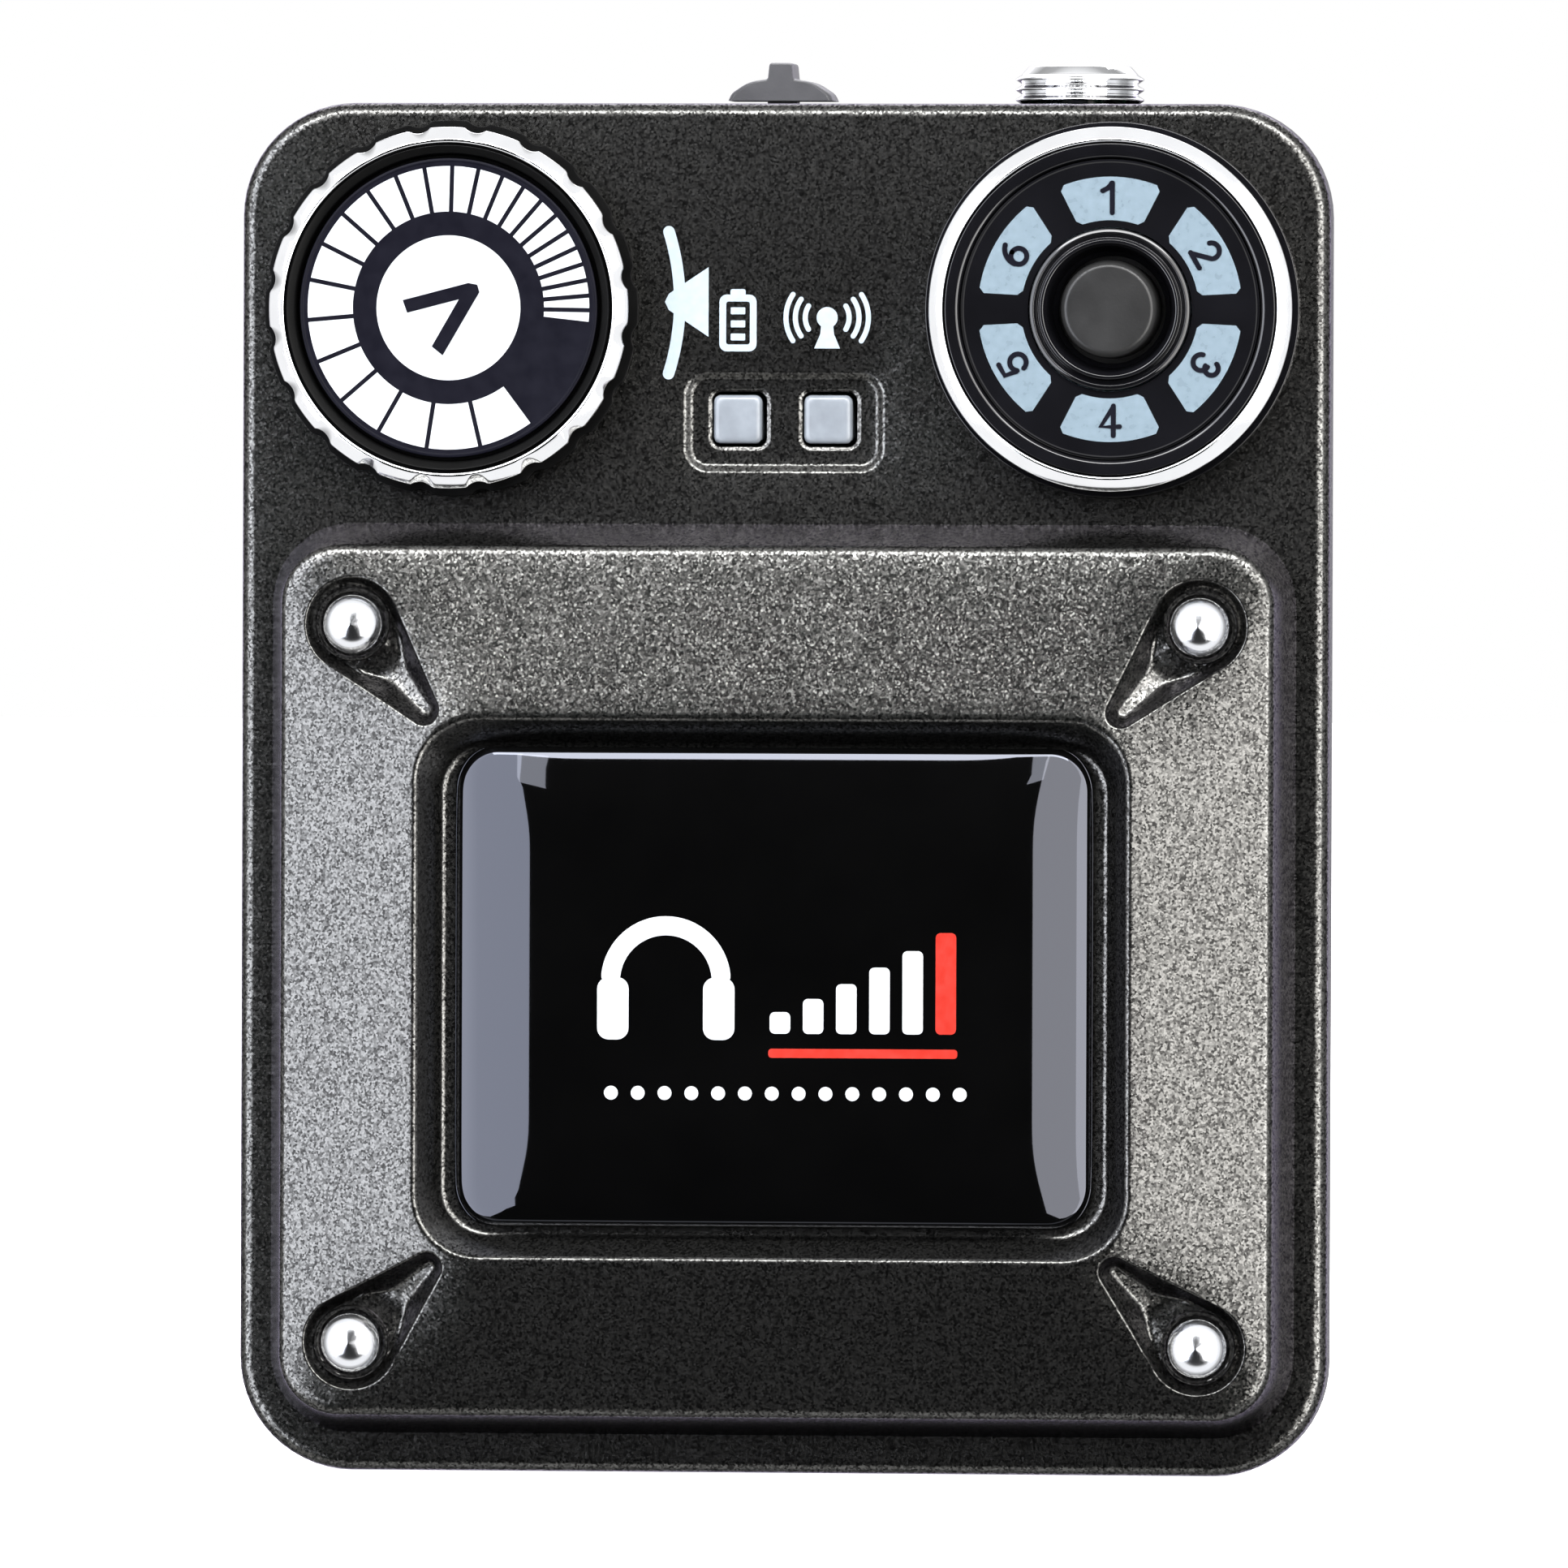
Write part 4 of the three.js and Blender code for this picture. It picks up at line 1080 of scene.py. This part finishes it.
def badge_prints(front_y):
    """A plain sign printed on the badge: a pair of headphones, level bars and a row of dots."""
    y = front_y - 0.004
    cx, cz = -6.3, 30.4
    band = stroke(arc(cx, cz - 0.6, 3.35, -84, 84, 32), 1.15)
    print_piece("badge_headband", [band], WHITE_INK, y)
    for i, side in enumerate((-1, 1)):
        cup = rectangle(0.95, cz - 4.1, cz - 0.35, 0.7, cx + side * 3.2, 6)
        print_piece(f"badge_ear_cup_{i + 1}", [cup], WHITE_INK, y - 0.004)
    heights = (1.3, 2.1, 3.0, 4.0, 5.0)
    base = cz - 3.7
    bars = [rectangle(0.62, base, base + h, 0.3, 0.6 + i * 2.0, 4) for i, h in enumerate(heights)]
    print_piece("badge_level_bars", bars, WHITE_INK, y)
    last = rectangle(0.62, base, base + 6.1, 0.3, 0.6 + 5 * 2.0, 4)
    print_piece("badge_level_peak", [last], RED_INK, y)
    underline = rectangle(5.7, cz - 5.15, cz - 4.6, 0.2, 5.6, 4)
    print_piece("badge_level_line", [underline], RED_INK, y)
    dots = [circle(-9.6 + i * 1.62, cz - 7.3, 0.42, 24) for i in range(14)]
    print_piece("badge_dots", dots, WHITE_INK, y)


def front_studs():
    """Four domed studs, each on its stem, that get steeper towards their edge."""
    for i, stud in enumerate(STUDS, 1):
        middle = (stud.x, FACE_Y - WELL_RISE, stud.z)
        dome = [(0, -2.2, 0), (0.9, -2.2, 0), (0.9, 0.3, 0), (1.8, 0.3, 0), (1.8, 0.7, 0)]
        height = 0.7
        for step in range(1, 19):
            outer, inner = 1.8 * (1 - (step - 1) / 18), 1.8 * (1 - step / 18)
            tilt = math.radians(13 + 62 * ((outer + inner) / 3.6) ** 3)
            height += math.tan(tilt) * (outer - inner)
            dome.append((inner, height, 0))
        profile = soften(dome, 3)
        keep_off_paint(turned(
            f"stud_dome_{i}", profile, middle, STUD_CHROME, steps=64, replaces=(f"front_stud_{i}",)
        ))


def status_lights():
    """The two milky light pipes, with rounded fronts."""
    for name, side in (("battery_status", -1), ("signal_status", 1)):
        back_y = span(name + "_lens")[1].y
        x, low, high = side * LENS_X + LENS_SHIFT, LENS_Z - LENS_HALF, LENS_Z + LENS_HALF
        shape = [(back_y, 0.0)]
        shape += [(FACE_Y + d, inset) for d, inset in ((0.6, 0.0), (0.45, 0.07), (0.36, 0.2), (0.33, 0.4))]
        sections = [(y, LENS_HALF - inset, low + inset, high - inset, 0.45, x) for y, inset in shape]
        finish_mesh(name + "_window", *loft(sections), LENS, replaces=(name + "_lens",))


# ---- top: power switch and headphone jack ----

def power_switch():
    """The slider with its raised grip, and the stem that goes down into its slot."""
    cap_low, cap_high = span("power_switch_cap")
    cx, cy = (cap_low.x + cap_high.x) / 2, (cap_low.y + cap_high.y) / 2
    right = [(3.2, 0.3, 0), (3.0, 0.75, 0.25), (1.95, 1.45, 0.5), (0.8, 1.62, 0.12), (0.7, 2.6, 0.22)]
    outline = soften([(-x, z, size) for x, z, size in right] + right[::-1], 5)
    back = [(1.7, 1.0, 0), (1.9, 0.97, 0.05), (2.0, 0.93, 0.12)]
    slices = [(-y, scale, sink) for y, scale, sink in reversed(back)] + back
    verts = [
        (cx + x * scale, cy + y, HEIGHT + max(0.3, z - sink))
        for y, scale, sink in slices
        for x, z in outline
    ]
    faces = skin_faces(len(outline), len(slices))
    finish_mesh(
        "power_switch_slider", verts, faces, GREY, body="power_switch", replaces=("power_switch_cap",)
    )
    stem = rectangle(0.9, HEIGHT - 3.2, HEIGHT + 0.35, 0.1, cx, 3)
    finish_mesh("power_switch_stem", *prism(stem, cy + 0.8, cy - 0.8), GREY, body="power_switch")


def jack():
    """The threaded collar of the headphone jack."""
    place = centre("jack_collar")
    root, crest = 3.55, 3.9
    profile = [(1.8, -3.0, 0), (root, -3.0, 0), (root, 0.0, 0.05)]
    for ridge in range(3):
        base = 0.1 + ridge * 0.62
        profile += [(root, base, 0.04), (crest, base + 0.22, 0.06)]
        profile += [(crest, base + 0.32, 0.06), (root, base + 0.54, 0.04)]
    profile += [(3.5, 1.95, 0.05), (3.1, 2.4, 0.08), (2.1, 2.4, 0.1), (1.8, 2.1, 0.05), (1.8, -3.0, 0)]
    middle = (place.x, place.y, HEIGHT)
    turned(
        "jack_threaded_collar", soften(profile, 3)[:-1], middle, CHROME, steps=96, closed=True, up=True,
        replaces=("jack_collar",), angle=45,
    )


# ---- screws and belt clip ----

def screw(name, node, head_y, head, shank, length, proud):
    """A cross-recessed screw whose head looks towards +Y."""
    place = centre(node)
    profile = soften(
        [
            (0, -head_y - proud, 0), (head * 0.75, -head_y - proud, 0.2),
            (head, -head_y - proud * 0.35, 0.15), (head, -head_y, 0.05), (shank, -head_y, 0),
            (shank, -head_y + length, 0.1), (0, -head_y + length + 0.4, 0),
        ],
        4,
    )
    piece = turned(name, profile, (place.x, 0, place.z), BLACK_STEEL, steps=64, replaces=(node,))
    top = head_y + proud
    arm, wide, deep = head * 0.62, 0.2, 0.55
    cross = []
    for a, b in ((arm, wide), (wide, arm)):
        slot = [(place.x + x, place.z + z) for x, z in ((a, b), (-a, b), (-a, -b), (a, -b))]
        cross.append(prism(slot, top + 0.5, top - deep))
    carve(piece, cross)


def strip(line, half):
    """A sheet 1 mm thick along a line of (y, z) points; its first end is rounded off."""
    thick, rim = 1.0, 0.18
    verts = []
    for i, (y, z) in enumerate(line):
        ny, nz = side_step(line, i, thick / 2)
        width = half - max(0.0, 1.6 - math.dist((y, z), line[0])) ** 2 / 2.0
        section = [(width - rim, 1), (width, 1 - 2 * rim), (width, -1 + 2 * rim), (width - rim, -1)]
        section += [(-x, s) for x, s in reversed(section)]
        verts += [(x, y + ny * s, z + nz * s) for x, s in section]
    return verts, skin_faces(len(verts) // len(line), len(line))


def belt_clip():
    """One strip of spring steel: a foot on the case, a bend over the top and a springy arm."""
    foot_low, foot_high = span("belt_clip_foot")
    arm_low, _ = span("belt_clip_arm")
    pivot = next(j for j in frame["joints"] if j["name"] == "clip_flex")["pos_m"]
    foot_y, back_y, bend_z = BACK_Y + 0.53, pivot[1] / MM + 2.7, pivot[2] / MM
    radius = (back_y - foot_y) / 2
    bend_y = foot_y + radius
    line = [(foot_y, foot_low.z + d) for d in (0, 0.4, 0.8, 1.2, 1.6, 6.0, 12.0)]
    for step in range(19):
        angle = math.radians(-90 + 10 * step)
        line.append((bend_y + radius * math.sin(angle), bend_z + radius * math.cos(angle)))
    foot = finish_mesh("belt_clip_foot_and_bend", *strip(line, foot_high.x), BLACK_STEEL, angle=35)
    heights = [centre(f"clip_screw_{i}").z for i in (1, 2)]
    carve(foot, [rod(1.2, 0, z, foot_y + 1.2, foot_y - 1.2, 48) for z in heights], 35)
    foot.parent = None
    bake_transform(foot)
    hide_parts("belt_clip_foot")

    tip = [(11.6, arm_low.z + 0.15), (11.2, arm_low.z + 1.1), (10.75, arm_low.z + 2.0), (10.3, 21.3)]
    tip += [(9.95, 22.4), (9.78, 23.2), (9.75, 24.0), (9.78, 24.8), (9.85, 25.6), (10.0, 27.4)]
    arm = tip + [(10.9, 36.0), (12.0, 46.0), (13.1, 56.0), (14.1, 65.0), (bend_y + radius, bend_z)]
    finish_mesh(
        "belt_clip_springy_arm", *strip(arm, foot_high.x), BLACK_STEEL, "clip_arm", ("belt_clip_arm",), 35
    )


# ---- CAD pieces that stay, with better materials ----

CAD_LOOKS = (
    (BLACK, "volume_pot_body channel_switch_body power_switch_lever jack_body charge_port_tongue"),
    (BOARD, "channel_board main_board"),
    (BRASS, "volume_shaft antenna"),
    (STEEL, "power_switch_body charge_port_shell shield_can"),
    (SOCKET, "channel_switch_stem battery_connector"),
    (FOIL, "battery"),
    (FOAM, "battery_pad"),
    (WIRE, "battery_lead"),
    (LAMP, "battery_status_led signal_status_led " + " ".join(f"channel_led_{i}" for i in range(1, 7))),
)


def dress_cad():
    """Gives the CAD pieces that are shown as they are their procedural materials."""
    for material, names in CAD_LOOKS:
        for name in names.split():
            shown = frame["nodes"][name]
            shown.data.materials.clear()
            shown.data.materials.append(material)


# ---- stage ----

CAMERA_AZIMUTH = 6.0
CAMERA_ELEVATION = 0.6
CAMERA_ROLL = 0.2
CAMERA_DISTANCE = 1300.0
FRAME_HEIGHT = 94.8  # what the picture shows at the object, in millimetres
AIM = Vector((-0.17, WIDE_Y, 41.6))
SENSOR_WIDTH = 36.0


def on_sphere(azimuth, elevation, distance):
    """A place round the object; azimuth 0 is in front of it and 90 to its right."""
    a, e = math.radians(azimuth), math.radians(elevation)
    return Vector((math.sin(a) * math.cos(e), -math.cos(a) * math.cos(e), math.sin(e))) * distance


def camera():
    """A long lens turned a little to the object's right, as in the photograph."""
    data = bpy.data.cameras.new("camera")
    shot = add_object("camera", data)
    back = on_sphere(CAMERA_AZIMUTH, CAMERA_ELEVATION, 1)
    shot.rotation_mode = "QUATERNION"
    look = (-back).to_track_quat("-Z", "Y")
    roll = Matrix.Rotation(math.radians(CAMERA_ROLL), 4, "Z").to_quaternion()
    shot.rotation_quaternion = look @ roll
    shot.location = (AIM + back * CAMERA_DISTANCE) * MM
    data.sensor_width = SENSOR_WIDTH
    data.lens = SENSOR_WIDTH * CAMERA_DISTANCE / FRAME_HEIGHT
    data.clip_start, data.clip_end = 0.05, 50.0
    bpy.context.scene.camera = shot


def softbox(name, azimuths, elevations, distance, radiance, colour=(1, 1, 1)):
    """A soft light that fills a range of azimuth and elevation seen from the object."""
    data = bpy.data.lights.new(name, "AREA")
    data.shape = "RECTANGLE"
    width, height = (
        2 * distance * math.tan(math.radians(end - start) / 2) for start, end in (azimuths, elevations)
    )
    data.size, data.size_y = width, height
    data.energy = radiance * math.pi * width * height
    data.color = colour
    aim = Vector((0, 0, 0.04))
    light = add_object(name, data)
    light.location = aim + on_sphere(sum(azimuths) / 2, sum(elevations) / 2, distance)
    light.rotation_mode = "QUATERNION"
    light.rotation_quaternion = (aim - light.location).to_track_quat("-Z", "Y")


def lights():
    softbox("left_softbox", (-66, -25), (-32, 42), 0.9, 5.6, (0.96, 0.99, 1.08))
    softbox("right_softbox", (21, 60), (-32, 42), 0.9, 5.6, (1.02, 1.0, 0.98))
    softbox("right_edge_light", (42, 60), (-32, 42), 0.88, 3.4)
    softbox("top_softbox", (-32, 32), (38, 54), 0.9, 17.5)
    softbox("top_left_fill", (-25, -16), (20, 38), 0.9, 5.0)
    softbox("top_right_fill", (14, 21), (20, 38), 0.9, 5.0)
    softbox("back_softbox", (150, 200), (30, 70), 1.2, 3.0)


WORLD_STRENGTH = 2.4
WORLD_STOPS = (  # (0 in front to 1 behind, brightness or colour)
    (0.0, 0.008), (0.17, 0.012), (0.22, 0.42), (0.44, 0.42), (0.56, 0.2), (0.7, 0.16), (0.85, 0.4),
    (0.89, (0.88, 0.83, 1.0)), (0.95, (0.88, 0.83, 1.0)), (0.98, 0.3),
)


def world():
    """White to the camera; in reflections white behind the object and dark round the camera."""
    scene_world = bpy.data.worlds.new("studio")
    scene_world.use_nodes = True
    bpy.context.scene.world = scene_world
    tree = scene_world.node_tree
    background = tree.nodes["Background"]
    direction = add_node(tree, "TexCoord")
    axes = add_node(tree, "SeparateXYZ")
    tree.links.new(direction.outputs["Generated"], axes.inputs["Vector"])
    depth = add_node(tree, "MapRange", **{"From Min": -1.0, "From Max": 1.0})
    tree.links.new(axes.outputs["Y"], depth.inputs["Value"])
    shade = ramp(tree, depth.outputs["Result"], WORLD_STOPS)
    tree.links.new(shade, background.inputs["Color"])
    background.inputs["Strength"].default_value = WORLD_STRENGTH
    plain = add_node(tree, "Background", Color=(1, 1, 1, 1))
    path = add_node(tree, "LightPath")
    mix = add_node(tree, "MixShader")
    tree.links.new(path.outputs["Is Camera Ray"], mix.inputs["Fac"])
    tree.links.new(background.outputs["Background"], mix.inputs[1])
    tree.links.new(plain.outputs["Background"], mix.inputs[2])
    tree.links.new(mix.outputs["Shader"], tree.nodes["World Output"].inputs["Surface"])


def floor():
    """A pale floor, seen by the camera only, so that the front's lower slope stays dark."""
    reach = 6.0
    corners = [(-reach, -reach, 0), (reach, -reach, 0), (reach, reach, 0), (-reach, reach, 0)]
    mesh = bpy.data.meshes.new("floor")
    mesh.from_pydata(corners, [], [(0, 1, 2, 3)])
    plane = add_object("floor", mesh)
    plane.location.z = -0.02 * MM
    plane.visible_diffuse = plane.visible_glossy = plane.visible_transmission = False
    material = bpy.data.materials.new("pale_floor")
    material.use_nodes = True
    shader = shader_of(material)
    shader.inputs["Base Color"].default_value = (0.9, 0.9, 0.9, 1)
    shader.inputs["Roughness"].default_value = 0.9
    shader.inputs["Emission Color"].default_value = (1, 1, 1, 1)
    shader.inputs["Emission Strength"].default_value = 0.95
    mesh.materials.append(material)


# ---- build ----

front_cover()
rear_cover()
face_prints()
volume_knob()
channel_selector()
badge_prints(badge())
front_studs()
status_lights()
power_switch()
jack()
for number in range(1, 5):
    screw(f"case_screw_head_{number}", f"case_screw_{number}", BACK_Y - 1.1, 2.0, 0.8, 8.5, 0.75)
for number in (1, 2):
    screw(f"clip_screw_head_{number}", f"clip_screw_{number}", BACK_Y + 1.05, 2.2, 0.9, 4.0, 1.1)
belt_clip()
dress_cad()
camera()
lights()
world()
floor()
bpy.context.scene.view_settings.view_transform = "Standard"
